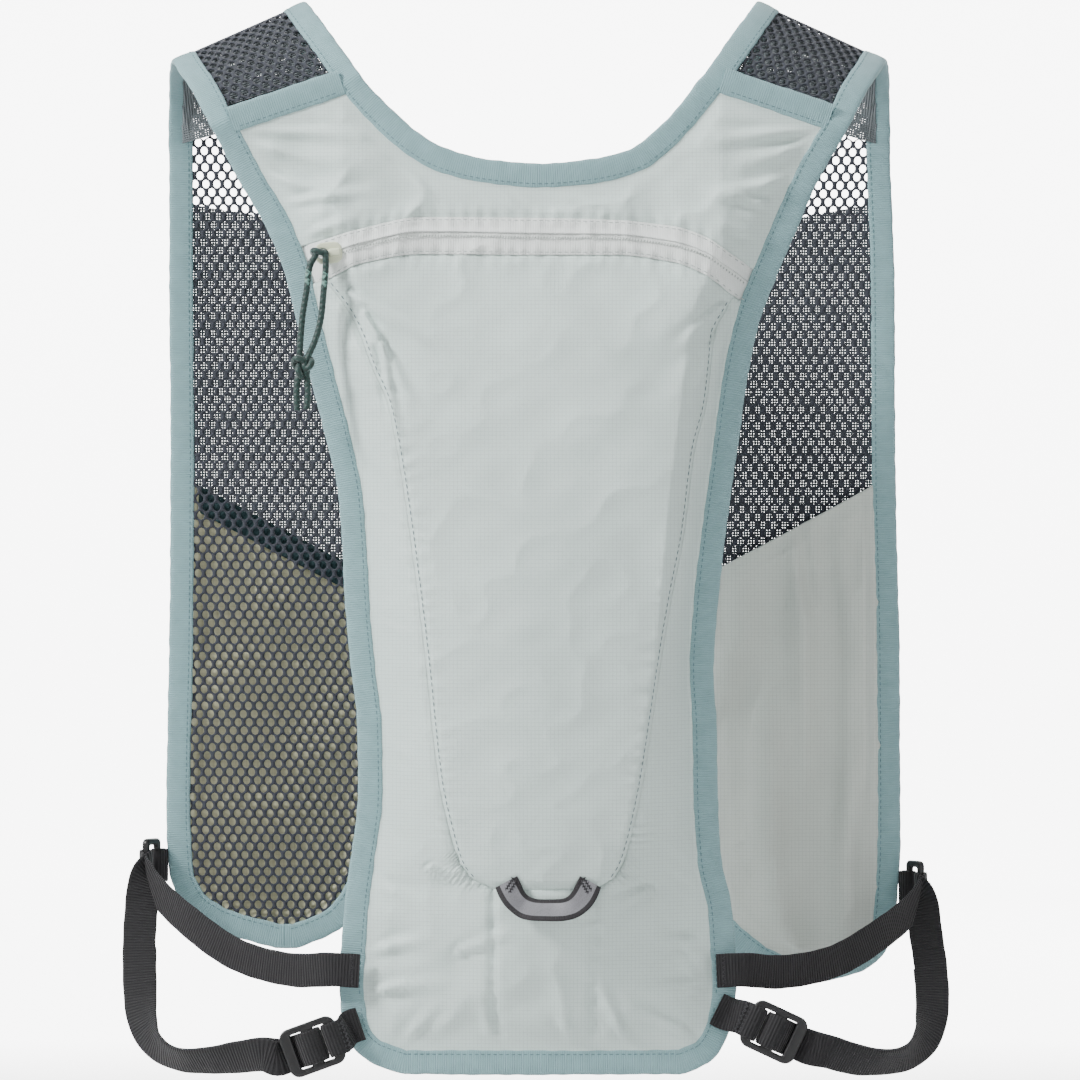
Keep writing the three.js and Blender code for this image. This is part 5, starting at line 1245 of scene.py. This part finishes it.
# Across, from and to as shares of the height, width across, and depth in millimetres
GATHERS = (
    (0.2, 0.56, 0.95, 0.06, 2.2), (0.42, 0.58, 0.9, 0.05, 1.6), (0.62, 0.6, 0.98, 0.07, 2.4),
    (0.82, 0.62, 0.9, 0.05, 1.5),
)
# Painted shade: the left pocket's olive beige stands for ripstop in the shadow behind the mesh.
shaded_olive_finish = ripstop("olive_ripstop_painted_shade", shade(208, 206, 172), shade(150, 150, 128))
pocket_finish = ripstop("grey_ripstop", shade(200, 207, 200), shade(146, 156, 150))
# Dark teal band: partly the left pocket's hem, partly painted shadow under its open top.
hem_shadow_finish = fabric("pocket_hem_shadow", shade(34, 62, 66), contrast=0.5, ribs=(0.0012, 0.4, 0.0001))
for name, sign in SIDES.items():
    tops = [-FRONT_HEIGHT["left"] * share for share in POCKET_TOP]
    outer = set_in(front_edge[name][0], 0.007, sign)
    inner = set_in(front_edge[name][1], 0.007, -sign)
    v, u = np.meshgrid(np.linspace(0, 1, 190), np.linspace(0, 1, 110), indexing="ij")
    top = tops[0] + (tops[1] - tops[0]) * u
    z = top + (-FRONT_HEIGHT[name] + 0.0075 - top) * v
    x = x_at(outer, z) + (x_at(inner, z) - x_at(outer, z)) * u
    down = -z / FRONT_HEIGHT[name]
    lift = 0.0006 * ripple(x, z, 0.035, 41) + 0.0004 * (1 - np.abs(ripple(x, z, 0.02, 42)))
    if name == "right":
        for middle, start, stop, wide, deep in GATHERS:
            along = np.clip((down - start) / (stop - start), 0, 1)
            lift = lift + 0.001 * deep * np.sin(math.pi * along) * np.exp(-(((u - middle) / wide) ** 2))
        ruck = np.sin(u * 40 + 4 * ripple(x, z, 0.06, 43)) * np.exp(-(((v - 0.12) / 0.1) ** 2))
        swell = np.sin(u * 15 + z * 22 + 2 * ripple(x, z, 0.12, 44)) * np.clip(v / 0.2, 0, 1)
        lift = 1.7 * lift + 0.0016 * ruck + 0.0036 * swell + 0.002 * np.abs(ripple(x, z, 0.07, 45))
        lift = 0.0014 * np.logaddexp(0, lift / 0.0014)
    hem = np.exp(-(((top - z - 0.0005) / 0.0012) ** 2)) + 0.7 * np.exp(-(((top - z - 0.009) / 0.0012) ** 2))
    outwards = 1 if name == "left" else -1
    rim = np.concatenate([front_edge[name][0], front_edge[name][1]])
    rim = rim[rim[:, 1] < tops[0] + 0.02]
    reach = np.hypot(x[..., None] - rim[:, 0], z[..., None] - rim[:, 1]).min(-1)
    reach = np.minimum(reach, z + FRONT_HEIGHT[name])
    edge = np.clip((reach - 0.0115) / 0.0055, 0, 1)
    edge = edge * edge * (3 - 2 * edge)
    stand = outwards * (0.0006 + 0.0018 * edge)
    grid = np.stack([x, front_y(name, z) + stand + outwards * (lift + 0.0005 * hem) * edge, z], -1)
    points, faces, _ = sheet_of(grid, RIPSTOP_THICK)
    uv = np.tile(np.stack([x, z], -1).reshape(-1, 2), (2, 1))
    finish = shaded_olive_finish if name == "left" else pocket_finish
    pocket = vest_piece(f"{name}_pocket", points, faces, finish, (f"{name}_front_pocket",), uv)
    flat, area = cut_of(grid)
    # The hem's stitches, and on the left pocket a dark band along it, partly its hem and partly painted
    # shadow under the pocket's open top
    spots = np.linspace(0.12, 0.88, 28)
    line = tops[0] + (tops[1] - tops[0]) * spots - 0.008
    x_line = x_at(outer, line) + (x_at(inner, line) - x_at(outer, line)) * spots
    places = np.stack([x_line, front_y(name, line) + outwards * 0.0024 - 0.0006, line], 1)
    facing = np.tile([0.0, -1.0, 0.0], (len(places), 1))
    points, faces = repeated(bead(), places, np.gradient(places, axis=0), facing, (0.0021, 0.0004, 0.0003))
    vest_piece(f"{name}_pocket_stitches", points, faces, thread_finish)
    if name == "left":
        # The dark band, partly the hem and partly painted shadow.
        t = np.linspace(0, 1, 60)
        band_line = tops[0] + (tops[1] - tops[0]) * t - 0.005
        band_x = x_at(outer, band_line) + (x_at(inner, band_line) - x_at(outer, band_line)) * t
        stand = 0.0003 + 0.0014 * np.clip(np.minimum(t, 1 - t) / 0.1, 0, 1)
        path = np.stack([band_x, front_y(name, band_line) + stand, band_line], 1)
        section = np.array([(0.0003, -0.0055), (0.0003, 0.0055), (-0.0003, 0.0055), (-0.0003, -0.0055)])
        sideways = np.tile([0.0, 0.0, 1.0], (60, 1))
        points, faces = swept(path, sideways, np.tile(section, (60, 1, 1)))
        run = np.repeat(np.linspace(0, 0.09, 60), 4)
        uv = np.stack([run, np.tile(section[:, 1], 60)], 1)
        vest_piece("left_pocket_hem", points, faces, hem_shadow_finish, (), uv, sharp=50)

# Bindings: pale blue grosgrain folded over the edges of the cloths, 11 mm wide, with cross ribs and a line
# of stitches along its inner edge. One runs round each armhole, one round the neck and down both fronts,
# one round the hem, and a short strip crosses each shoulder between yoke and back.
BINDING_THICK = 0.003
HEM_START = 0.93
STITCH_PITCH = 0.0027
binding_finish = fabric(
    "pale_grosgrain", shade(146, 184, 189), rough=0.75, sheen=0.3, pitch=0.0004, ribs=(0.001, 0.3, 0.0002)
)
binding_thread = fabric("binding_thread", shade(96, 134, 140), rough=0.6, pitch=0.0002, contrast=0.5)


def flat_section(wide, thick, power=5.0):
    """The outline of a folded tape: |2a / thick|^2 + |2b / wide|^power = 1, as points (a, b)."""
    turn = np.linspace(0, 2 * math.pi, 24, endpoint=False)
    b = np.sign(np.cos(turn)) * np.abs(np.cos(turn)) ** (2 / power) * wide / 2
    a = np.sign(np.sin(turn)) * np.abs(np.sin(turn)) ** (2 / 2.6) * thick / 2
    return np.stack([a, b], 1)


def folded_tape(pairs, thick, seed):
    """A tape along pairs of outer and inner points: its section is stretched to each pair's width, its faces
    pucker by a few hundredths along it and its outer edge wanders a little. Returns the skin, its map, and
    the lines for the stitches on both faces with their outward directions."""
    middle, run = even((pairs[:, 0] + pairs[:, 1]) / 2, 0.0016)
    steps = np.diff((pairs[:, 0] + pairs[:, 1]) / 2, axis=0)
    length = np.concatenate([[0], np.cumsum(np.linalg.norm(steps, axis=1))])
    side = np.stack([np.interp(run, length, (pairs[:, 0] - pairs[:, 1])[:, k]) for k in range(3)], 1)
    wide = np.linalg.norm(side, axis=1)
    section = flat_section(1.0, thick)
    a = np.tile(section[:, 0], (len(run), 1))
    b = section[:, 1] * wide[:, None]
    dice = np.random.default_rng(seed)
    phase = dice.uniform(0, 6.28, 4)
    pucker = sum(np.sin(run / p + q) for p, q in zip((0.0013, 0.0021, 0.0052, 0.013), phase)) / 4
    inner = np.exp(-(((b / wide[:, None] + 0.33) / 0.1) ** 2))
    a = a * (1 + 0.1 * pucker[:, None]) * (1 - 0.24 * inner)
    b = b + 0.00028 * pucker[:, None] * np.sign(b)
    points, faces = swept(middle, side, np.stack([a, b], -1))
    uv = np.stack([np.repeat(run, len(section)), b.ravel()], 1)
    along = unit(np.gradient(middle, axis=0))
    across_way = unit(side - along * np.sum(side * along, 1, keepdims=True))
    normal = np.cross(across_way, along)
    seam = middle - across_way * (wide[:, None] * 0.33)
    return points, faces, uv, seam, normal, run


def bind(name, pairs, thick, seed, nodes):
    """A binding with its stitches on both faces, half sunk in the groove that they pull in."""
    points, faces, uv, seam, normal, run = folded_tape(np.asarray(pairs), thick, seed)
    made = vest_piece(name, points, faces, binding_finish, nodes, uv, sharp=60)
    at = np.arange(0.004, run[-1] - 0.004, STITCH_PITCH)
    places = np.stack([np.interp(at, run, seam[:, k]) for k in range(3)], 1)
    out = np.stack([np.interp(at, run, normal[:, k]) for k in range(3)], 1)
    along = np.gradient(places, axis=0)
    lift = thick * 0.385
    both = np.concatenate([places + out * lift, places - out * lift])
    points, faces = repeated(
        bead(), both, np.concatenate([along, along]), np.concatenate([out, -out]), (0.002, 0.00046, 0.0004)
    )
    vest_piece(f"{name}_stitches", points, faces, binding_thread)
    return made


def back_pairs(outer, inner):
    """Pairs on the back's own edge, with the binding's middle half its thickness outside the back panel."""
    lift = [np.stack([x, back_y(x, z) - 0.0018, z], 1) for x, z in (outer.T, inner.T)]
    return np.stack(lift, 1)


def shoulder_pairs(name, edge):
    """Pairs over the shoulder: on its edge, and 11 mm in towards the other edge."""
    outer, other = shoulder_lines[name] if edge == "outer" else shoulder_lines[name][::-1]
    outer, other = outer[::4], other[::4]
    place = np.linspace(0, 6, len(outer))
    settle = np.zeros_like(outer)
    settle[:, 1] = np.where(place < 1, -0.0018 * (1 - place), 0)
    return np.stack([outer + settle, outer + settle + TAPE_WIDE * unit(other - outer)], 1)


def front_pairs(name, edge):
    """Pairs down an edge of a front panel."""
    sign = SIDES[name] * (1 if edge == "outer" else -1)
    line = front_edge[name][0 if edge == "outer" else 1]
    inner = set_in(line, TAPE_WIDE, sign)
    return np.stack([np.stack([x, front_y(name, z), z], 1) for x, z in (line.T, inner.T)], 1)[3::2]


def low_end(name, turn):
    """Two pairs that carry a tape on to the middle of the front panel's hem, where both tapes meet."""
    sign, low = SIDES[name], -FRONT_HEIGHT[name]
    x = (front_edge[name][0][-1, 0] + front_edge[name][1][-1, 0]) / 2
    x = np.array([x + turn * sign * 0.004, x - turn * sign * 0.0008])
    z = np.full(2, low - 0.0006)
    y = front_y(name, z)
    return np.stack([np.stack([x, y, z], 1), np.stack([x, y, z + TAPE_WIDE], 1)], 1)


for name, sign in SIDES.items():
    inner = set_in(body_edge[name], TAPE_WIDE, sign)
    meet = shoulder_lines[name][0][0, 2]
    kept = (body_edge[name][:, 1] > -HEM_START * BODY_HEIGHT - 0.003) & (body_edge[name][:, 1] < meet - 0.006)
    side = back_pairs(body_edge[name][kept], inner[kept])[::-1]
    shoulder, front = shoulder_pairs(name, "outer"), front_pairs(name, "outer")
    whole = np.concatenate([side, shoulder, front, low_end(name, 1)])
    bind(f"{name}_armhole_tape", whole, BINDING_THICK, 51 + sign, (f"{name}_armhole_binding",))

low = {name: body_edge[name][body_edge[name][:, 1] < -HEM_START * BODY_HEIGHT] for name in SIDES}
x = np.arange(low["left"][-1, 0] + 0.003, low["right"][-1, 0] - 0.002, 0.003)
hem = np.concatenate([low["left"], np.stack([x, np.full(len(x), -BODY_HEIGHT)], 1), low["right"][::-1]])
bind("hem_tape", back_pairs(hem, set_in(hem, TAPE_WIDE, -1)), BINDING_THICK + 0.0004, 55, ("hem_binding",))

across_neck = back_pairs(neck_edge, set_in(neck_edge, TAPE_WIDE, 1))[3:-3]
sides = {
    name: np.concatenate([shoulder_pairs(name, "inner"), front_pairs(name, "inner"), low_end(name, -1)])
    for name in SIDES
}
bind(
    "neck_tape",
    np.concatenate([sides["left"][::-1], across_neck, sides["right"]]),
    BINDING_THICK,
    58,
    ("neck_binding",),
)
for name, sign in SIDES.items():
    outer, inner = shoulder_lines[name][0][0], shoulder_lines[name][1][0]
    t = np.linspace(0.13, 0.87, 30)
    x = outer[0] + (inner[0] - outer[0]) * t
    ends = []
    for side in (1, -1):
        shifted = x + sign * side * 0.0055 * STRIP_FALL
        z = strip_z(x) + side * 0.0055
        ends.append(np.stack([shifted, back_y(shifted, z) - 0.0022, z], 1))
    bind(f"{name}_cross_tape", np.stack(ends, 1), 0.0028, 61 + sign, (f"{name}_cross_strip",))

# Side straps: 15 mm ribbed black webbing. Each is sewn to the edge of the back, runs out round a ring on the
# front panel, hangs in a slack loop and comes back to a ladder lock at the hem, where it turns over the
# middle bar, and its free tail lies behind it.
WEBBING = 0.015
WEBBING_THICK = 0.0015
RING_LONG, RING_WIDE, BAR = 0.025, 0.0125, 0.003
LOCK_LONG, LOCK_WIDE, LOCK_THICK = 0.026, 0.022, 0.0034
# Down to the strap, down and out to the ring, down to the lock, its gap, its tilt, down to its tab
HARDWARE = {
    "left": (0.9, 0.81, 1.045, 0.972, 0.00378, 20, 0.951),
    "right": (0.9, 0.832, 1.035, 0.958, 0.00599, 25, 0.937),
}
# Way to the ring, share of the depth, and sag as a share of the height
STRAP_RUN = (
    (0, 1.09, 0), (0.12, 1.07, 0), (0.3, 0.82, 0.009),
    (0.55, 0.42, 0.016), (0.78, 0.02, 0.012), (0.92, -0.36, 0.008),
)
# Out, down and back on the way from the ring to the lock, and the lean and turn of the webbing
STRAP_LOOP = {
    "left": (
        (-0.035, 0.06, 0.1, -35, 0), (-0.05, 0.24, 0.2, -70, 0), (-0.055, 0.45, 0.3, -88, 0),
        (-0.04, 0.67, 0.42, -96, 5), (-0.01, 0.84, 0.52, -112, 25), (0.08, 0.97, 0.62, -140, 45),
        (0.25, 1.04, 0.72, -168, 50), (0.47, 1.04, 0.82, -182, 40), (0.7, 1.01, 0.91, -188, 20),
        (0.86, 0.99, 0.97, -192, 5),
    ),
    "right": (
        (-0.035, 0.06, 0.1, -35, 0), (-0.06, 0.3, 0.2, -72, 0), (-0.09, 0.55, 0.32, -86, 0),
        (-0.09, 0.8, 0.44, -98, 5), (-0.03, 1.0, 0.55, -124, 30), (0.12, 1.12, 0.66, -158, 45),
        (0.32, 1.15, 0.76, -178, 45), (0.52, 1.13, 0.85, -188, 30), (0.7, 1.08, 0.93, -198, 15),
        (0.8, 1.05, 0.97, -202, 5),
    ),
}
webbing_finish = fabric(
    "black_webbing", shade(27, 26, 29), rough=0.72, sheen=0.15, pitch=0.0006, ribs=(0.00135, 0.6, 0.0003)
)
black_thread = fabric("black_thread", shade(40, 39, 44), rough=0.5, pitch=0.0002, contrast=0.4)
black_plastic = moulded("black_plastic", shade(17, 17, 19), 0.4, 0.15)
UP = np.array([0.0, 0.0, 1.0])


def leant(sign, lean, turn):
    """Direction of the webbing's width: up, leant over in the plane of the back, then turned forwards."""
    a, b = np.radians(lean), np.radians(turn)
    return np.array([-sign * np.sin(a) * np.cos(b), np.sin(b), np.cos(a) * np.cos(b)])


def webbing(name, rows, wide, nodes, finish=None, thick=WEBBING_THICK):
    """A band of webbing through rows of a centre point and a direction of its width. Both run through a
    smooth curve. The band's middle is a little thicker than its woven edges."""
    finish = finish or webbing_finish
    centres = curve_through([at for at, _ in rows], 30 * len(rows))
    sides = curve_through([side for _, side in rows], 30 * len(rows))
    path, run = even(centres, 0.0011)
    length = np.concatenate([[0], np.cumsum(np.linalg.norm(np.diff(centres, axis=0), axis=1))])
    side = np.stack([np.interp(run, length, sides[:, k]) for k in range(3)], 1)
    section = flat_section(wide, thick, 9.0)
    wobble = 1 + 0.01 * np.sin(run / 0.0021) + 0.008 * np.sin(run / 0.0117)
    ring = np.stack([np.tile(section[:, 0], (len(run), 1)), section[:, 1] * wobble[:, None]], -1)
    points, faces = swept(path, side, ring)
    uv = np.stack([np.repeat(run, len(section)), np.tile(section[:, 1], len(run))], 1)
    made = vest_piece(name, points, faces, finish, nodes, uv, sharp=60)


def bar_tack(name, at, along, side, out, long=0.012):
    """Two close rows of stitches across the webbing that hold a fold or an end down."""
    rows = np.linspace(-long / 2, long / 2, 13)
    along, side, out = unit(np.array(along)), unit(np.array(side)), unit(np.array(out))
    places = np.concatenate([at + side * rows[:, None] + along * s for s in (-0.0011, 0.0011)])
    lean = np.tile([1.0, -1.0], 13)[:, None] * side * 0.7 + along
    facing = np.tile(out, (26, 1))
    points, faces = repeated(bead(), places, lean, facing, (0.0021, 0.0006, 0.0005))
    vest_piece(name, points, faces, black_thread)


for name, sign in SIDES.items():
    strap_down, ring_down, ring_out, lock_down, lock_gap, tilt, tab_down = HARDWARE[name]

    def body_at(share, inwards, outwards):
        """A point so far in from the edge of the back and so far outside the back panel."""
        z = -BODY_HEIGHT * share
        x = float(x_at(body_edge[name], z)) - sign * inwards
        return np.array([x, float(back_y(x, np.array(z))) - outwards, z])

    start = body_at(strap_down, 0.009, 0.00465)
    lean = math.radians(28)
    inner_way = np.array([-sign * math.sin(lean), math.cos(lean), 0])
    ring_at = np.array([sign * HALF_SPAN * ring_out, FRONT_DEPTH - 0.008, -BODY_HEIGHT * ring_down])
    bar = ring_at - inner_way * (RING_WIDE - BAR) / 2
    tab_bar = ring_at + inner_way * (RING_WIDE - BAR) / 2
    bend = BAR / 2 + 0.0009

    def round_bar(centre, angle):
        """A row on the webbing where it wraps a bar, at an angle round it."""
        a = math.radians(angle)
        return centre + bend * np.array([-sign * math.cos(a), math.sin(a), 0]), UP

    meet = round_bar(bar, 200)[0]
    rows = []
    for way, back, sag in STRAP_RUN:
        x = start[0] + (meet[0] - start[0]) * way
        z = start[2] + (meet[2] - start[2]) * way**2 - sag * BODY_HEIGHT
        rows.append((np.array([x, start[1] * back, z]), UP))
    wrapped = [round_bar(bar, angle) for angle in np.linspace(200, -20, 6)]
    ring_end = wrapped[-1][0]
    tilt = math.radians(tilt)
    lock_x = np.array([-sign * math.cos(tilt), 0, math.sin(tilt)])
    lock_z = -BODY_HEIGHT * lock_down
    edge = float(x_at(body_edge[name], lock_z))
    lock_at = np.array([edge + sign * (lock_gap + LOCK_LONG / 2), -BACK_DEPTH - 0.006, lock_z])
    lock_wide = leant(sign, -180 - math.degrees(tilt), 0)
    lock_end = lock_at - lock_x * (LOCK_LONG / 2 + 0.0007)

    def loop_rows(inwards):
        """Rows down the slack loop, moved forwards by a distance."""
        found = []
        for out, down, back, lie, turned in STRAP_LOOP[name]:
            centre = ring_end + (lock_end - ring_end) * [out, back, down] + [0, inwards, 0]
            found.append((centre, leant(sign, lie, turned)))
        return found

    def by_lock(distance, depth):
        """A row at a distance along the ladder lock and a depth behind it."""
        return lock_at + lock_x * distance + np.array([0, depth, 0]), lock_wide

    threading = [
        by_lock(-0.0165, 0.0014), by_lock(-0.0115, 0.0028), by_lock(-0.0075, 0.0022),
        by_lock(-0.0045, -0.0012), by_lock(-0.0018, -0.0029), by_lock(0.0018, -0.0029),
        by_lock(0.0048, -0.0008), by_lock(0.0047, 0.0022),
        by_lock(0.001, 0.0037), by_lock(-0.0065, 0.0044), by_lock(-0.0125, 0.0052),
    ]
    tail = loop_rows(0.0048)[2:][::-1]
    everything = rows + wrapped + loop_rows(0) + threading + tail
    webbing(f"{name}_side_strap", everything, WEBBING, (f"{name}_strap", f"{name}_strap_tail"))
    front = np.array([0, -1.0, 0])
    out_way = rows[1][0] - rows[0][0]
    tack_at = rows[0][0] + unit(out_way) * 0.0045 + front * 0.0008
    bar_tack(f"{name}_strap_tack", tack_at, out_way, UP, front)

    # Ring: a plain moulded rectangle with round bars, standing nearly edge on
    outline = rounded(RING_LONG, RING_WIDE, 0.0025)
    opening = rounded(RING_LONG - 2 * BAR, RING_WIDE - 2 * BAR, 0.0012, turn=-1)
    points, faces = plate_of(outline, [opening], BAR, 0.0011)
    points = set_on(points, ring_at, UP, inner_way)
    nodes = (f"{name}_ring",)
    vest_piece(f"{name}_strap_ring", points, faces, black_plastic, nodes, sharp=50)

    # Ring tab: webbing folded round the ring's inner bar and sewn to the edge of the front panel
    x_edge = float(x_at(front_edge[name][0], ring_at[2])) + sign * 0.0012
    edge_at = np.array([x_edge, float(front_y(name, ring_at[2])), ring_at[2]])
    towards = math.degrees(math.atan2(edge_at[1] - tab_bar[1], sign * (tab_bar[0] - edge_at[0])))
    off = unit(np.cross(UP, edge_at - tab_bar)) * WEBBING_THICK * 0.9
    rows = [(edge_at + off * sign, UP)]
    rows += [round_bar(tab_bar, towards - 80 - 200 * t) for t in np.linspace(0, 1, 7)]
    rows += [(edge_at - off * sign, UP)]
    webbing(f"{name}_ring_fold", rows, WEBBING, (f"{name}_ring_tab",))

    # Ladder lock: moulded, with two slots, 26 x 22 mm, at a slant below the corner of the back
    outline = rounded(LOCK_LONG, LOCK_WIDE, 0.0045)
    slots = [rounded(0.0052, WEBBING + 0.0012, 0.0008, (s * 0.0052, 0), turn=-1) for s in (-1, 1)]
    points, faces = plate_of(outline, slots, LOCK_THICK, 0.0009)
    points = set_on(points, lock_at, lock_x, np.cross(lock_x, (0, 1.0, 0)))
    nodes = (f"{name}_ladder_lock",)
    vest_piece(f"{name}_strap_lock", points, faces, black_plastic, nodes, sharp=50)

    # Lock tab: webbing from under the binding round the lock's inner bar and back over itself
    corner = body_at(tab_down, 0.008, 0.0048)
    rows = [
        (corner, lock_wide), (corner - lock_x * 0.005, lock_wide),
        by_lock(0.0145, 0.0022), by_lock(0.0105, 0.0028),
        by_lock(0.0076, 0.0018), by_lock(0.0066, -0.0002), by_lock(0.0078, -0.0024), by_lock(0.0115, -0.0028),
        by_lock(0.015, -0.0014),
    ]
    webbing(f"{name}_lock_fold", rows, WEBBING, (f"{name}_lock_tab",))
    tack_at = by_lock(0.0148, -0.0026)[0]
    bar_tack(f"{name}_lock_tack", tack_at, lock_x, lock_wide, front)

# Chest strap, hidden in front: the same webbing between the two front edges, sewn into their bindings,
# with a plain closed clasp of moulded plastic at its middle.
CHEST_Z = -0.118
half = [float(x_at(front_edge[name][1], CHEST_Z)) for name in SIDES]
chest_y = float(front_y("left", CHEST_Z))
line = np.linspace(half[0] + 0.001, half[1] - 0.001, 9)
sag = 0.0006 * np.cos(line / 0.05)
rows = [(np.array([x, chest_y, CHEST_Z - s]), UP) for x, s in zip(line, sag)]
webbing("chest_webbing", rows, WEBBING, ("chest_strap",))
points, faces = plate_of(rounded(0.046, 0.022, 0.006), [], 0.0078, 0.0024)
points = set_on(points, (0.00035, chest_y, CHEST_Z), (1, 0, 0), (0, 0, 1))
vest_piece("chest_clasp", points, faces, black_plastic, (), sharp=50)

# Reflective loop: an 11 mm tape below the centre panel, grey and a little metallic, with a painted glint on
# its beads and black woven edges. Its ends are sewn under the panel's seam, and its middle bows down and
# stands off the cloth for a clip-on light.
LOOP_WIDE = 0.011
LOOP_SPAN = (-0.15, 0.29)
LOOP_DOWN, LOOP_SAG = 0.812, 0.026
loop_finish, shader, node = material_of("reflective_tape")
place = node("TexCoord").outputs["UV"]
parts = node("SeparateXYZ", {"Vector": place})
off = node("Math", {0: parts.outputs["Y"]}, operation="ABSOLUTE").outputs[0]
edging = node("MapRange", {"Value": off, "From Min": 0.0031, "From Max": 0.0034}).outputs[0]
# Painted glint: each bead of the tape is painted brighter in its middle and darker at its rim.
beads = node("TexVoronoi", {"Vector": place, "Scale": 2600.0}).outputs["Distance"]
painted_bead_glint = node("MapRange", {"Value": beads, "To Min": 1.1, "To Max": 0.75}).outputs[0]
lit = {"Factor": 1.0, "A": (*shade(136, 136, 141), 1), "B": painted_bead_glint}
grey = node("Mix", lit, data_type="RGBA", blend_type="MULTIPLY")
edged = {"Factor": edging, "A": grey.outputs["Result"], "B": (*shade(36, 34, 37), 1)}
both = node("Mix", edged, data_type="RGBA")
ribbed = node("TexWave", {"Vector": place, "Scale": math.pi / 0.009}).outputs["Fac"]
ribs = node("Math", {0: ribbed, 1: edging}, operation="MULTIPLY").outputs[0]
bump = node("Bump", {"Height": ribs, "Strength": 0.6, "Distance": 0.0002}).outputs[0]
gloss = node("MapRange", {"Value": edging, "To Min": 0.34, "To Max": 0.8}).outputs[0]
silver = node("MapRange", {"Value": edging, "To Min": 0.35, "To Max": 0.0}).outputs[0]
dress(loop_finish, shader, Base_Color=both.outputs["Result"], Roughness=gloss, Metallic=silver, Normal=bump)
t = np.linspace(0, 1, 11)
x = (LOOP_SPAN[0] + (LOOP_SPAN[1] - LOOP_SPAN[0]) * t) * HALF_BODY
z = -BODY_HEIGHT * (LOOP_DOWN + LOOP_SAG * (1 - (2 * t - 1) ** 4))
bow = 1 - (2 * t - 1) ** 4
stand = -0.0008 + 0.0068 * bow
rows = []
for i in range(11):
    near = min(float(puckered(np.array(x[i]), np.array(z[i] + s * LOOP_WIDE / 2))) for s in (-1, 0, 1))
    middle_at = np.array([x[i], near - POUCH_OUT - stand[i], z[i]])
    rows.append((middle_at, np.array([(5 - i) * 0.12, 0.7 * bow[i], 1.0])))
webbing(
    "reflective_tape", rows, LOOP_WIDE, ("reflective_loop",), loop_finish, thick=0.0011
)
for word, i in (("left", 0), ("right", 10)):
    toward = rows[1][0] - rows[0][0] if i == 0 else rows[9][0] - rows[10][0]
    at = rows[i][0] + unit(toward) * 0.003 + [0, -0.0007, 0]
    bar_tack(f"{word}_loop_tack", at, toward, rows[i][1], (0, -1.0, 0), 0.008)
